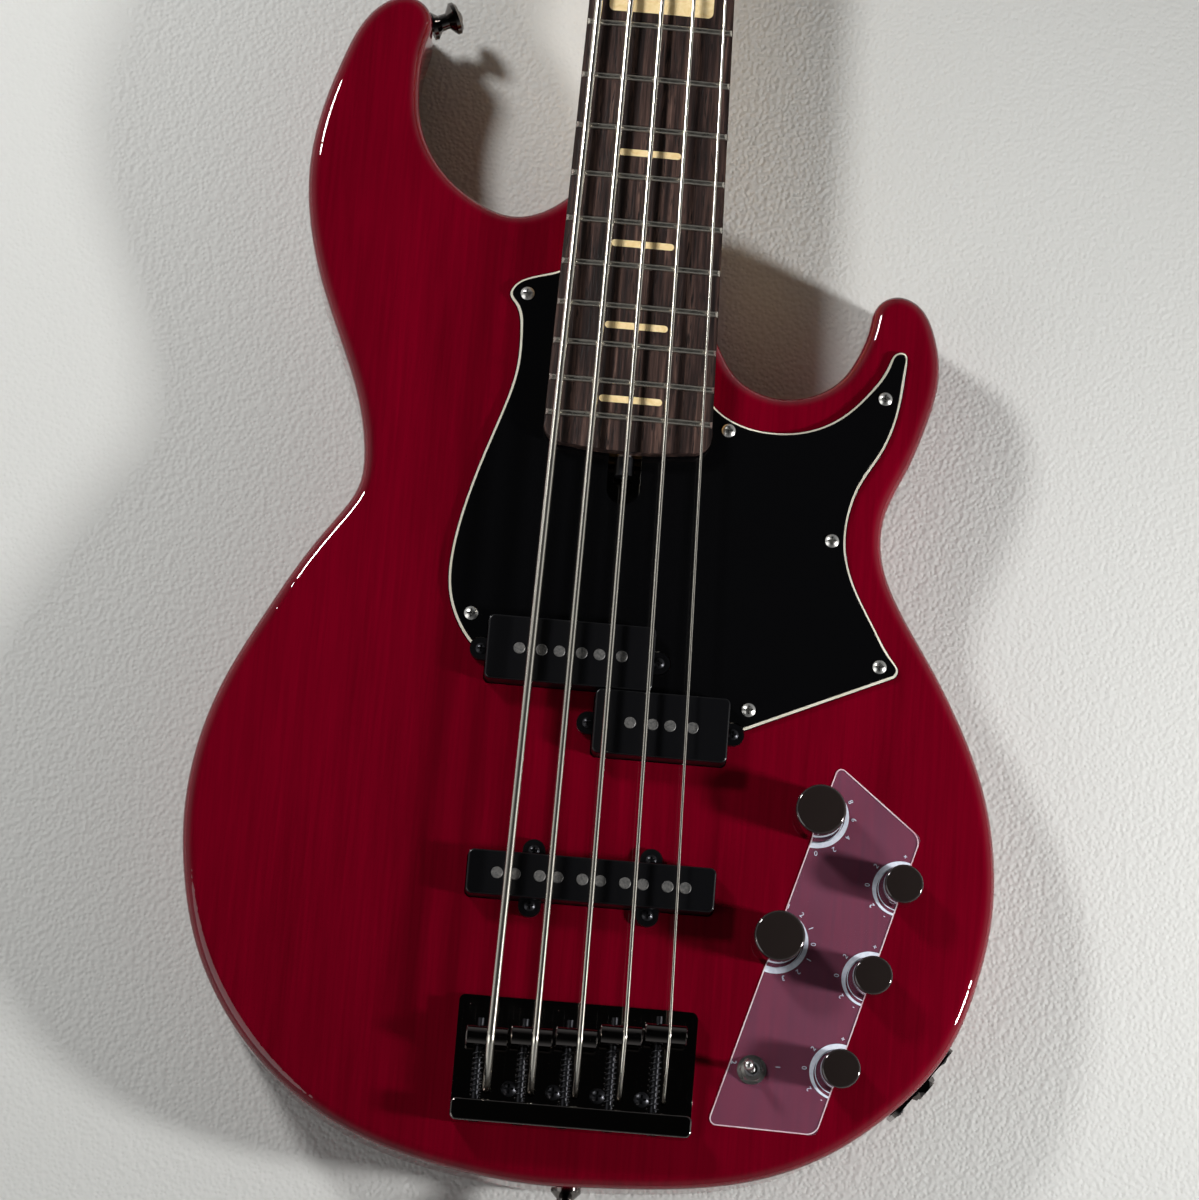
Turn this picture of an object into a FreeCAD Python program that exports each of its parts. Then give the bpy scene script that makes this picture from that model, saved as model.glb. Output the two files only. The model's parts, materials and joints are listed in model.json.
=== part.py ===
import FreeCAD, Part
import math
import os

# Five-string electric bass guitar, lying on its back. Millimetres.
# The origin is on the back plane, on the centre line, at the bridge end of the scale.
# +X points to the thinnest string, +Y along the neck, +Z out of the front.

V = FreeCAD.Vector
up = V(0, 0, 1)

# Scale, frets and strings, thickest string first
scale_length = 863.6
fret_count = 21
string_diameters = [3.30, 2.67, 2.16, 1.65, 1.14]
saddle_spacing = 18.0
nut_spacing = 9.3
string_gap_nut = 1.7
string_gap_saddle = 5.3
saddle_setbacks = [7.0, 6.0, 5.0, 2.5, 0.5]

# Clearances
fit_gap = 0.05
seat_gap = 0.15
shell_gap = 0.4

# Body
body_thickness = 45.0
body_edge_radius = 6.0
pocket_depth = 18.0
body_outline = [
    (0, -63.5), (46, -60.5), (80, -53.5), (106, -41.5), (127, -25.5), (142, -10), (154, 9), (162, 33),
    (166.5, 60), (165.5, 88), (160, 113), (148.7, 140), (134.5, 165), (119.5, 189), (111.5, 209),
    (112, 229), (119.5, 247.5), (127, 269), (131, 290), (128, 309), (120.5, 321.5), (110.5, 324.6),
    (103, 320), (100, 309), (96.5, 298), (89.5, 286), (78.5, 278), (66, 275), (54, 277), (43.5, 284),
    (36, 296), (26, 313), (12, 333), (-3, 351), (-15, 360), (-26, 361), (-36, 354.3), (-45, 348.5),
    (-57, 346), (-71, 350.5), (-84, 359.5), (-94, 372), (-99.8, 387), (-101.5, 404), (-99.8, 422),
    (-98.3, 430), (-101, 437.2), (-110, 441.5), (-118, 439), (-127, 430), (-135, 412), (-142, 387),
    (-145, 362), (-142.5, 336), (-135, 309.5), (-124, 283), (-115, 260), (-110.5, 240), (-111.2, 221),
    (-119, 207), (-131, 189), (-145, 163.5), (-157.5, 138), (-167, 108), (-170, 78), (-167, 49),
    (-158.5, 20), (-146, -2.5), (-130, -21.5), (-109.5, -38), (-83, -51), (-44, -60.5),
]

# Neck, board and headstock
neck_width_nut = 44.1
neck_taper = 0.0431
heel_end = 244.0
heel_depth = 22.5
shaft_start = 412.0
shaft_depth_heel = 17.5
shaft_depth_nut = 15.0
heel_curve_start = 372.0
board_end = 242.0
board_bow = 2.0
board_corner = 8.0
board_thickness = 6.0
board_radius = 600.0
fret_width = 2.7
fret_height = 1.2
fret_tang = 1.8
fret_slot = 0.6
bar_length = 26.7
bar_width = 3.0
block_length = 45.0
block_width = 14.0
block_corner = 2.5
marker_depth = 1.5
side_dot_radius = 1.1
nut_length = 6.0
nut_cover = 0.45
head_drop = 11.5
head_thickness = 14.5
head_scoop = 16.0
head_corner_run = 26.0
head_outline = [
    (-22.5, 2), (-25.5, 10), (-33, 20), (-40.5, 33), (-40.5, 46), (-27.8, 109), (-15.2, 172), (-11, 191),
    (-3, 206), (10, 213), (22, 208), (28.5, 193), (29.5, 168), (27.5, 140), (30, 112), (37, 90),
    (39.5, 70), (38, 48), (32, 28), (25, 11), (22.5, 2),
]

# Truss rod
rod_radius = 3.0
rod_drop = 6.0
rod_end_gap = 24.0
rod_nut_radius = 4.0
rod_nut_length = 8.0
rod_stub = 9.0
well_width = 14.0
well_end = 221.0
well_depth = 8.0

# Neck plate and screws
plate_x = -2.0
plate_y = 270.0
plate_length = 48.0
plate_width = 50.0
plate_thickness = 2.0
plate_corner = 8.0
plate_screw_inset = 8.0
neck_screw_radius = 2.4
neck_screw_head = 4.4
neck_screw_length = 42.0

# Pickguard, from the lowest ply up
ply_black_low = 0.7
ply_white = 0.8
ply_black_top = 1.0
white_line = 0.95
dark_line = 0.35
guard_left = [
    (-57.5, 155.5), (-65, 165.8), (-69.3, 178), (-69.8, 194), (-67, 212), (-61, 235), (-54, 257),
    (-49.2, 277), (-49, 294), (-52, 305), (-54.6, 309.4), (-54, 311.8), (-48.5, 316.8), (-34.6, 321.7),
]
guard_right = [
    (35, 268.5), (42, 263), (52, 259.3), (63, 258.3), (77, 260.7), (90, 267.8), (101, 279.5),
    (108.5, 292.5), (112, 298), (115.3, 298), (116.6, 292), (114.8, 274.5), (108.5, 253.5), (100.5, 239),
    (96, 224), (95.8, 209), (101, 193), (110, 177), (118, 164.5), (120.8, 159.6), (119.3, 156.6),
]
guard_low_end = (57, 128.5)
guard_under_pickups = [(40, 127), (12, 133), (8, 150), (-45, 154.5)]
guard_screws = [(-47, 309.7), (-59, 169), (42.6, 257), (108, 276.7), (89.3, 213), (112.6, 160.7), (59.3, 137.8)]
guard_head_radius = 2.9
guard_head_height = 1.5
guard_shank_radius = 1.4
guard_screw_length = 13.0

# Pickups: centre, length and depth of each cover, and what sits in it
cover_height = 10.0
cover_sunk = 4.0
cover_wall = 1.5
cover_corner = 2.5
cover_edge = 0.9
cavity_depth = 20.0
coil_sunk = 6.0
ear_radius = 4.7
ear_thickness = 2.5
ear_reach = 2.2
pole_radius = 2.4
pole_rise = 0.3
pole_length = 18.0
split_bass = (-16.5, 154.4, 69.8, 27.2)
split_treble = (23.3, 126.9, 56.0, 27.2)
bridge_pickup = (-0.5, 60.2, 102.0, 18.5)
split_pair_spacing = 16.65
split_pole_gap = 9.3
bridge_pair_spacing = 17.5
bridge_pole_gap = 7.3
bridge_ear_spacing = 48.4
small_head_radius = 2.3
small_head_height = 1.2
small_shank_radius = 1.2
pickup_screw_length = 20.0

# Bridge
bridge_x = -1.25
bridge_width = 97.5
bridge_front = 10.5
bridge_back = -41.3
bridge_plate_thickness = 3.0
bridge_corner = 2.5
wall_thickness = 9.0
wall_height = 14.0
rail_width = 2.0
rail_height = 3.0
saddle_radius = 4.4
saddle_length = 17.2
saddle_offset = -1.5
saddle_groove = 1.0
intonation_offset = -4.4
intonation_height = 10.5
intonation_radius = 1.3
intonation_head = 2.2
intonation_head_height = 1.6
intonation_recess = 2.4
height_screw_spacing = 13.4
height_screw_radius = 1.25
height_screw_proud = 0.6
rail_groove_depth = 0.5
spring_radius = 1.9
spring_wire = 0.75
spring_pitch = 2.3
string_hole_y = -27.0
string_hole_gap = 0.6
string_bend = 4.0
bridge_screw_y = -26.5
bridge_head_radius = 3.2
bridge_head_height = 1.6
bridge_shank_radius = 1.9
bridge_screw_length = 26.0
ferrule_radius = 4.6
ferrule_length = 14.0
ball_radius = 2.8
ball_length = 5.0

# Controls: shaft centre of each knob, then large or small
knobs = {
    "volume_knob": (90.8, 96.0, "large"),
    "balance_knob": (77.4, 42.8, "large"),
    "bass_knob": (127.0, 68.7, "small"),
    "middle_knob": (116.7, 30.3, "small"),
    "treble_knob": (106.0, -8.5, "small"),
}
knob_sizes = {"large": (10.4, 19.0), "small": (8.0, 15.5)}
knob_gap = 0.7
knob_edge = 0.8
knob_hollow_height = 3.6
pot_shaft_radius = 3.0
pot_bush_radius = 3.6
pot_case_radius = 8.2
pot_case_height = 8.0
pot_bush_rise = 3.0
control_nut_radius = 5.6
control_nut_height = 1.8
control_top_wood = 6.5
film_thickness = 0.3
film_corner = 3.0
film_corners = [(54.3, -34), (99, -35), (134.5, 90.5), (98.5, 118.5)]
toggle_place = (71.0, -10.5)
toggle_bush_radius = 3.0
toggle_bore_radius = 2.2
toggle_bush_rise = 4.0
toggle_ball_radius = 1.9
toggle_length = 13.0
toggle_tip_radius = 2.1
toggle_neck_radius = 1.1
toggle_lean = 12.0
toggle_pin_radius = 0.6
toggle_case = (13.0, 8.0, 10.0)

# Control cavity, its cover and the battery
cavity_corners = [(60, -24), (114, -24), (130, 14), (142, 60), (140, 86), (106, 112), (80, 112), (62, 40)]
cavity_corner = 6.0
ledge = 6.0
cover_thickness = 2.5
cover_screw_length = 12.0
board_size = (30.0, 24.0, 6.0)
board_place = (101.5, 61.0)
battery_place = (-82.0, 12.0)
battery_size = (48.5, 26.5, 17.5)
box_wall = 1.5
box_room = 2.5
door_thickness = 1.8
door_pin_radius = 1.2
door_pin_length = 1.2

# Jack on the lower right edge
jack_axis = V(0.8, -0.6, 0)
jack_face = 118.2
jack_along = 78.5
jack_plate_length = 37.0
jack_plate_height = 26.0
jack_plate_thickness = 2.0
jack_plate_corner = 4.0
jack_bore_radius = 3.25
jack_sleeve_radius = 4.6
jack_body_radius = 7.0
jack_body_length = 22.0
jack_nut_radius = 6.3
jack_nut_height = 2.4
jack_screw_inset = 4.5

# Strap buttons: place of the base and the way it points
strap_places = [(V(-99.2, 435.5, 0), V(0.9, 0.436, 0)), (V(0, -62.9, 0), V(0, -1, 0))]
strap_base_radius = 6.2
strap_waist_radius = 3.6
strap_head_radius = 7.2
strap_height = 13.0
strap_screw_radius = 2.2
strap_screw_length = 28.0

# Tuners, in their own frame: post upright at the origin, key along +X
first_post = 44.0
post_spacing = 42.0
treble_post = 60.0
tuner_turn = 168.6
treble_turn = 11.4
post_radius = 5.0
post_height = 23.0
post_slot = 1.8
post_slot_depth = 5.0
bush_radius = 6.5
bush_flange = 8.2
bush_flange_height = 1.6
gear_teeth = 20
gear_pitch_radius = 8.0
gear_tip = 0.75
gear_root = 1.1
gear_width = 3.0
tooth_root_width = 1.2
tooth_tip_width = 0.6
worm_pitch_radius = 3.5
worm_turns = 5
worm_crest = 0.7
worm_root = 1.0
tuner_plate_thickness = 1.6
tuner_plate_span = (-14.0, 15.0, -17.0, 10.0)
tuner_plate_corner = 3.0
worm_clear = 0.4
lug_place = 8.8
lug_thickness = 2.4
lug_half_width = 4.0
key_shaft_radius = 2.2
key_start = 26.0
key_length = 22.0
key_width = 26.0
key_thickness = 6.0
key_edge = 2.2
tuner_screw_x = 12.3
tuner_screw_length = 10.0
wrap_height = 9.0
wrap_turns = 2
wrap_step_gap = 0.6
wrap_gap = 0.3
tree_run = 68.0
tree_bar_radius = 2.2
tree_bar_length = 19.0
tree_hold = 9.0
tree_screw_radius = 1.3

# Leads inside the body
lead_radius = 1.2
lead_channel_radius = 4.0

# Heights that follow from the sizes above
body_top = body_thickness
pocket_floor = body_top - pocket_depth
neck_top = pocket_floor + heel_depth
board_top = neck_top + board_thickness
head_face = board_top - head_drop
head_back = head_face - head_thickness
guard_thickness = ply_black_low + ply_white + ply_black_top
guard_top = body_top + guard_thickness
cover_top = body_top + cover_height
cover_bottom = body_top - cover_sunk
plate_top = body_top + bridge_plate_thickness
wall_front = bridge_back + wall_thickness
ceiling = body_top - control_top_wood
film_top = body_top + film_thickness
gear_pitch = 2 * math.pi * gear_pitch_radius / gear_teeth
worm_offset = gear_pitch_radius + worm_pitch_radius
worm_outer = worm_pitch_radius + worm_crest
worm_core = worm_pitch_radius - worm_root
worm_level = -tuner_plate_thickness - worm_clear - worm_outer


# Simple solids

def box(x0, x1, y0, y1, z0, z1):
    return Part.makeBox(x1 - x0, y1 - y0, z1 - z0, V(x0, y0, z0))


def rod(x, y, z0, z1, radius):
    return Part.makeCylinder(radius, z1 - z0, V(x, y, z0), up)


def rod_along(start, axis, length, radius):
    return Part.makeCylinder(radius, length, start, axis)


def flat(points):
    return [V(p[0], p[1], 0) for p in points]


def prism(wire, z0, z1):
    face = Part.Face(wire)
    face.translate(V(0, 0, z0))
    return face.extrude(V(0, 0, z1 - z0))


def rounded_loop(corners, radius):
    # Straight sides joined by tangent arcs of one radius
    spans = []
    count = len(corners)
    for i in range(count):
        here = corners[i]
        back = (corners[i - 1] - here).normalize()
        ahead = (corners[(i + 1) % count] - here).normalize()
        half = back.getAngle(ahead) / 2
        reach = radius / math.tan(half)
        middle = here + (back + ahead).normalize() * (radius / math.sin(half) - radius)
        spans.append((here + back * reach, middle, here + ahead * reach))
    edges = []
    for i in range(count):
        start, middle, end = spans[i]
        edges.append(Part.Arc(start, middle, end).toShape())
        following = spans[(i + 1) % count][0]
        edges.append(Part.LineSegment(end, following).toShape())
    return Part.Wire(edges)


def rounded_rectangle(cx, cy, length, depth, radius):
    x = length / 2
    y = depth / 2
    return rounded_loop(flat([(cx - x, cy - y), (cx + x, cy - y), (cx + x, cy + y), (cx - x, cy + y)]), radius)


def grown(corners, distance):
    # Convex outline, counter-clockwise, moved outwards by a distance
    moved = []
    count = len(corners)
    for i in range(count):
        here = corners[i]
        before = (here - corners[i - 1]).normalize()
        after = (corners[(i + 1) % count] - here).normalize()
        out_before = V(before.y, -before.x, 0)
        out_after = V(after.y, -after.x, 0)
        out = (out_before + out_after).normalize()
        moved.append(here + out * (distance / out.dot(out_before)))
    return moved


def spline(points, closed=False):
    curve = Part.BSplineCurve()
    curve.interpolate(points, PeriodicFlag=closed)
    return curve


def smooth_edges(curve, pieces):
    # One smooth curve as several edges that meet at its knots
    knots = curve.getKnots()
    last = len(knots) - 1
    stops = [knots[round(last * k / pieces)] for k in range(pieces + 1)]
    edges = []
    for k in range(pieces):
        part = curve.copy()
        part.segment(stops[k], stops[k + 1])
        edges.append(part.toShape())
    return edges


def turned(profile, base, axis):
    # Solid of revolution from (radius, height) pairs
    points = [V(r, 0, h) for r, h in profile]
    points.append(points[0])
    shape = Part.Face(Part.makePolygon(points)).revolve(V(0, 0, 0), up, 360)
    shape.Placement = FreeCAD.Placement(base, FreeCAD.Rotation(up, axis))
    return shape


def fused(shapes):
    return shapes[0].multiFuse(shapes[1:]).removeSplitter()


def group(shapes):
    solids = []
    for shape in shapes:
        solids.extend(shape.Solids)
    return Part.makeCompound(solids)


def cross_screw(base, axis, head_radius, head_height, shank_radius, length):
    # Domed head on the base plane, shank against the axis, with a cross recess
    dome_radius = (head_radius ** 2 + head_height ** 2) / (2 * head_height) * 1.15
    head = Part.makeCylinder(head_radius, head_height)
    head = head.common(Part.makeSphere(dome_radius, V(0, 0, head_height - dome_radius)))
    shank = Part.makeCylinder(shank_radius, length, V(0, 0, 0), V(0, 0, -1))
    arm = head_radius * 0.62
    blade = head_radius * 0.14
    cross = box(-arm, arm, -blade, blade, head_height * 0.35, head_height * 2)
    cross = cross.fuse(box(-blade, blade, -arm, arm, head_height * 0.35, head_height * 2))
    screw = fused([head, shank]).cut(cross)
    screw.Placement = FreeCAD.Placement(base, FreeCAD.Rotation(up, axis))
    return screw


def screw_hole(base, axis, shank_radius, length):
    return rod_along(base, V(0, 0, 0) - axis, length + seat_gap, shank_radius + fit_gap)


# Paths for tubes

def arc_between(start, corner, end):
    # Arc that is tangent to both legs of the corner, which are equally long
    first = (corner - start).normalize()
    second = (end - corner).normalize()
    cosine = math.cos(first.getAngle(second) / 2)
    middle = (start + end) * 0.5
    return Part.Arc(start, middle + (corner - middle) * (cosine / (1 + cosine)), end).toShape()


def straight_or_arc(start, corner, end):
    if (corner - start).getAngle(end - corner) < 1e-6:
        return Part.LineSegment(start, end).toShape()
    return arc_between(start, corner, end)


def biarc(p0, t0, p1, t1):
    # Two arcs from p0 to p1 that meet smoothly and leave along t0 and t1
    gap = p1 - p0
    both = t0 + t1
    a = 2 * (1 - t0.dot(t1))
    b = 2 * gap.dot(both)
    c = -gap.dot(gap)
    if abs(a) < 1e-9:
        leg = -c / b
    else:
        leg = (-b + math.sqrt(b * b - 4 * a * c)) / (2 * a)
    near = p0 + t0 * leg
    far = p1 - t1 * leg
    joint = (near + far) * 0.5
    return [straight_or_arc(p0, near, joint), straight_or_arc(joint, far, p1)]


def run_with_arcs(points, radii):
    # Straight runs joined by tangent arcs, one radius for each inner point
    edges = []
    start = points[0]
    for i in range(1, len(points) - 1):
        here = points[i]
        back = (points[i - 1] - here).normalize()
        ahead = (points[i + 1] - here).normalize()
        reach = radii[i - 1] / math.tan(back.getAngle(ahead) / 2)
        edges.append(Part.LineSegment(start, here + back * reach).toShape())
        edges.append(arc_between(here + back * reach, here, here + ahead * reach))
        start = here + ahead * reach
    edges.append(Part.LineSegment(start, points[-1]).toShape())
    return edges


def tube(edges, radius):
    path = Part.Wire(edges)
    first = edges[0]
    start = first.valueAt(first.FirstParameter)
    heading = first.tangentAt(first.FirstParameter)
    profile = Part.Wire(Part.Circle(start, heading, radius).toShape())
    shape = path.makePipeShell([profile], True, False)
    ratio = shape.Volume / (math.pi * radius ** 2 * path.Length)
    return Part.Solid(shape.Shells[0]) if not shape.Solids else shape.Solids[0], ratio


def least_gap(edges, diameter, skip):
    # Least distance of a tube's surface to itself, measured on points along its line
    points = []
    for edge in edges:
        points.extend(edge.discretize(7)[:-1])
    steps = [0.0]
    for i in range(1, len(points)):
        steps.append(steps[-1] + points[i].distanceToPoint(points[i - 1]))
    least = 1e9
    for i in range(len(points)):
        for j in range(i + 1, len(points)):
            if steps[j] - steps[i] > skip:
                least = min(least, points[i].distanceToPoint(points[j]))
    return least - diameter


# Strings: their lines over the board

def saddle_x(i):
    return (i - 2) * saddle_spacing


def nut_x(i):
    return (i - 2) * nut_spacing


def saddle_top(i):
    # Lowest point of the string where it rests on its saddle
    return board_top + string_gap_saddle - saddle_x(i) ** 2 / (2 * board_radius)


def nut_slot_bottom(i):
    return board_top + string_gap_nut - nut_x(i) ** 2 / (2 * board_radius)


def saddle_axis(i):
    return V(saddle_x(i) + saddle_offset, -saddle_setbacks[i], saddle_top(i) - saddle_radius + saddle_groove)


def wrap_radius(i):
    return post_radius + wrap_gap + string_diameters[i] / 2


def string_heading(i):
    return V((nut_x(i) - saddle_x(i)) / scale_length, 1, 0).normalize()


def post_run(i):
    return treble_post if i == 4 else first_post + i * post_spacing


def post_side(i):
    # Left of the string for the four thick strings, right of it for the thinnest
    heading = string_heading(i)
    left = V(-heading.y, heading.x, 0)
    return left * (-1 if i == 4 else 1)


def wrap_start(i):
    point = V(nut_x(i), scale_length, head_face + wrap_height)
    return point + string_heading(i) * post_run(i)


def post_place(i):
    centre = wrap_start(i) + post_side(i) * wrap_radius(i)
    return V(centre.x, centre.y, head_back)


def tuner_placement(i):
    turn = treble_turn if i == 4 else tuner_turn
    return FreeCAD.Placement(post_place(i), FreeCAD.Rotation(up, turn))


def tree_point(i):
    point = V(nut_x(i), scale_length, head_face + tree_hold + string_diameters[i] / -2)
    return point + string_heading(i) * tree_run


def string_edges(i):
    radius = string_diameters[i] / 2
    axis = saddle_axis(i)
    wrap = saddle_radius - saddle_groove + radius
    x = saddle_x(i)
    bend = V(x, string_hole_y, plate_top + 1.5)
    rise = math.hypot(axis.y - bend.y, axis.z - bend.z)
    angle = math.atan2(axis.z - bend.z, axis.y - bend.y) + math.asin(wrap / rise)
    crest_z = axis.z + wrap
    crest = V(x, bend.y + (crest_z - bend.z) / math.tan(angle), crest_z)
    at_nut = V(nut_x(i), scale_length, nut_slot_bottom(i) + radius)
    points = [V(x, string_hole_y, ball_length + 1.0), bend, crest, at_nut]
    radii = [string_bend, wrap, 25.0]
    if i in (2, 3):
        points.append(tree_point(i))
        radii.append(40.0)
    points.append(wrap_start(i))
    edges = run_with_arcs(points, radii)
    heading = (points[-1] - points[-2]).normalize()
    return edges + winding_edges(i, heading)


def winding_edges(i, heading):
    # Helix round the post in quarter turns, then a short straight tail
    diameter = string_diameters[i]
    centre = post_place(i)
    spin = -1 if i == 4 else 1
    begin = wrap_start(i)
    angle0 = math.atan2(begin.y - centre.y, begin.x - centre.x)
    climb = (diameter + wrap_step_gap) / 4
    edges = []
    point = begin
    for quarter in range(1, 4 * wrap_turns + 1):
        angle = angle0 + spin * quarter * math.pi / 2
        z = begin.z + climb * quarter
        target = V(centre.x + wrap_radius(i) * math.cos(angle), centre.y + wrap_radius(i) * math.sin(angle), z)
        way = V(-spin * math.sin(angle), spin * math.cos(angle), 2 * climb / (math.pi * wrap_radius(i)))
        way.normalize()
        edges.extend(biarc(point, heading, target, way))
        point = target
        heading = way
    edges.append(Part.LineSegment(point, point + heading * diameter).toShape())
    return edges


def strings():
    solids = []
    for i in range(5):
        diameter = string_diameters[i]
        edges = string_edges(i)
        solid, ratio = tube(edges, diameter / 2)
        gap = least_gap(edges[-8 * wrap_turns - 1:], diameter, 3 * diameter)
        print("string", i, "volume ratio", round(ratio, 4), "least gap", round(gap, 2))
        solids.append(solid)
        solids.append(rod(saddle_x(i), string_hole_y, 1.0, 1.0 + ball_length, ball_radius))
    return group(solids)


# Neck and headstock

def half_width(y):
    return (neck_width_nut + (scale_length - y) * neck_taper) / 2


def neck_plan(end, side_gap, far_y):
    # Tapered plan with a bowed end and round corners
    side = half_width(end) + side_gap
    corner_y = end + board_bow
    low = corner_y + board_corner
    r = board_corner
    slant = r * math.sqrt(0.5)
    far = half_width(far_y) + side_gap
    right_low = V(side, low, 0)
    right_in = V(side - r, corner_y, 0)
    right_mid = V(side - r + slant, low - slant, 0)
    left_low = V(-side, low, 0)
    left_in = V(r - side, corner_y, 0)
    left_mid = V(r - side - slant, low - slant, 0)
    edges = [
        Part.LineSegment(V(far, far_y, 0), right_low).toShape(),
        Part.Arc(right_low, right_mid, right_in).toShape(),
        Part.Arc(right_in, V(0, end, 0), left_in).toShape(),
        Part.Arc(left_in, left_mid, left_low).toShape(),
        Part.LineSegment(left_low, V(-far, far_y, 0)).toShape(),
        Part.LineSegment(V(-far, far_y, 0), V(far, far_y, 0)).toShape(),
    ]
    return Part.Wire(edges)


def shaft_depth(y):
    share = (y - shaft_start) / (scale_length - shaft_start)
    return shaft_depth_heel + (shaft_depth_nut - shaft_depth_heel) * share


def shaft_section(y, depth, fullness):
    # Flat top and a round back, squarer with a higher fullness
    half = half_width(y)
    points = []
    for k in range(17):
        t = math.pi * k / 16
        c = math.cos(t)
        x = half * math.copysign(abs(c) ** (2 / fullness), c)
        z = neck_top - depth * math.sin(t) ** (2 / fullness)
        points.append(V(x, y, z))
    back = spline(points).toShape()
    top = Part.LineSegment(points[-1], points[0]).toShape()
    return Part.Wire([back, top])


def blend_share(share):
    return share * share * (3 - 2 * share)


def shaft():
    heel_curve = []
    for k in range(6):
        share = blend_share(k / 5)
        y = heel_curve_start + (shaft_start - heel_curve_start) * k / 5
        depth = heel_depth + (shaft_depth(shaft_start) - heel_depth) * share
        heel_curve.append(shaft_section(y, depth, 9.0 + (2.4 - 9.0) * share))
    nut_back = scale_length + nut_length
    straight_end = scale_length - head_corner_run
    head_curve = []
    for k in range(6):
        share = blend_share(k / 5)
        y = straight_end + (nut_back + head_corner_run - straight_end) * k / 5
        depth = shaft_depth(straight_end) + (neck_top - head_back - shaft_depth(straight_end)) * share
        head_curve.append(shaft_section(y, depth, 2.4 + (9.0 - 2.4) * share))
    return [
        Part.makeLoft(heel_curve, True, False),
        Part.makeLoft([heel_curve[-1], head_curve[0]], True, True),
        Part.makeLoft(head_curve, True, False),
    ]


def headstock():
    points = [V(x, y + scale_length + nut_length, 0) for x, y in head_outline]
    edges = smooth_edges(spline(points), 4)
    wire = Part.Wire(edges + [Part.LineSegment(points[-1], points[0]).toShape()])
    return prism(wire, head_back, neck_top)


def face_scoop():
    # What is taken off above the headstock face, with a hollow curve behind the nut
    start = scale_length + nut_length
    drop = neck_top - head_face
    radius = (head_scoop ** 2 + drop ** 2) / (2 * drop)
    turn = math.asin(head_scoop / radius) / 2
    centre_z = head_face + radius
    middle_y = start + head_scoop - radius * math.sin(turn)
    middle = V(0, middle_y, centre_z - radius * math.cos(turn))
    end = V(0, start + head_scoop, head_face)
    far_y = start + 260
    edges = [
        Part.Arc(V(0, start, neck_top), middle, end).toShape(),
        Part.LineSegment(end, V(0, far_y, head_face)).toShape(),
        Part.LineSegment(V(0, far_y, head_face), V(0, far_y, neck_top + 5)).toShape(),
        Part.LineSegment(V(0, far_y, neck_top + 5), V(0, start, neck_top + 5)).toShape(),
        Part.LineSegment(V(0, start, neck_top + 5), V(0, start, neck_top)).toShape(),
    ]
    face = Part.Face(Part.Wire(edges))
    face.translate(V(-80, 0, 0))
    return face.extrude(V(160, 0, 0))


def rod_level():
    return neck_top - rod_drop


def neck():
    heel = prism(neck_plan(heel_end, 0, heel_curve_start), pocket_floor, neck_top)
    solid = fused([heel] + shaft() + [headstock()])
    cutters = [face_scoop()]
    rod_far = scale_length - rod_end_gap
    slot = rod_radius + seat_gap
    cutters.append(box(-slot, slot, heel_end - 5, rod_far + seat_gap, rod_level() - slot, neck_top + 1))
    for x, y in neck_screw_places():
        cutters.append(rod(x, y, 0, neck_screw_length + seat_gap, neck_screw_radius + fit_gap))
    for i in range(5):
        spot = post_place(i)
        cutters.append(rod(spot.x, spot.y, head_back - 1, head_face + 1, bush_radius + fit_gap))
        for x, y in tuner_screw_places(i):
            cutters.append(screw_hole(V(x, y, head_back), V(0, 0, -1), small_shank_radius, tuner_screw_length))
    tree = tree_screw_place()
    cutters.append(rod(tree.x, tree.y, head_face - 10, head_face + 1, tree_screw_radius + fit_gap))
    return solid.cut(cutters)


def truss_rod():
    far = scale_length - rod_end_gap
    near = heel_end - rod_stub
    return rod_along(V(0, near, rod_level()), V(0, 1, 0), far - near, rod_radius)


def truss_rod_nut():
    # Round nut with cross holes for a turning bar
    near = heel_end - rod_stub
    solid = rod_along(V(0, near - 1, rod_level()), V(0, 1, 0), rod_nut_length, rod_nut_radius)
    bore = rod_along(V(0, near - seat_gap, rod_level()), V(0, 1, 0), rod_nut_length, rod_radius + fit_gap)
    key = rod_along(V(0, near - 2, rod_level()), V(0, 1, 0), 1.8, 1.5)
    return solid.cut([bore, key])


def crown():
    # Large cylinder that gives the board its rounded top
    return rod_along(V(0, 0, board_top - board_radius), V(0, 1, 0), scale_length + 100, board_radius)


def fret_y(n):
    return scale_length / 2 ** (n / 12)


def marker_y(n):
    return (fret_y(n) + fret_y(n - 1)) / 2


def marker_shapes():
    shapes = []
    for n in (3, 5, 7, 9, 15, 17, 19, 21):
        loop = rounded_rectangle(0, marker_y(n), bar_length, bar_width, bar_width * 0.49)
        shapes.append(prism(loop, board_top - marker_depth - 0.3, board_top + 1))
    block = rounded_rectangle(0, marker_y(12), block_length, block_width, block_corner)
    shapes.append(prism(block, board_top - marker_depth - 0.3, board_top + 1))
    return shapes


def side_dots():
    dots = []
    for n in (3, 5, 7, 9, 12, 15, 17, 19, 21):
        y = marker_y(n)
        start = V(-half_width(y) - 1, y, neck_top + board_thickness / 2)
        dots.append(rod_along(start, V(1, 0, 0), 3.0, side_dot_radius))
    return dots


def board_blank():
    plan = neck_plan(board_end, 0, scale_length)
    return prism(plan, neck_top, board_top + 1).common(crown())


def fingerboard():
    cutters = marker_shapes() + side_dots()
    for n in range(1, fret_count + 1):
        y = fret_y(n)
        cutters.append(box(-50, 50, y - fret_slot / 2, y + fret_slot / 2, board_top - 3.4, board_top + 2))
    return board_blank().cut(cutters)


def position_markers():
    blank = board_blank()
    return group([shape.common(blank) for shape in marker_shapes() + side_dots()])


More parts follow.
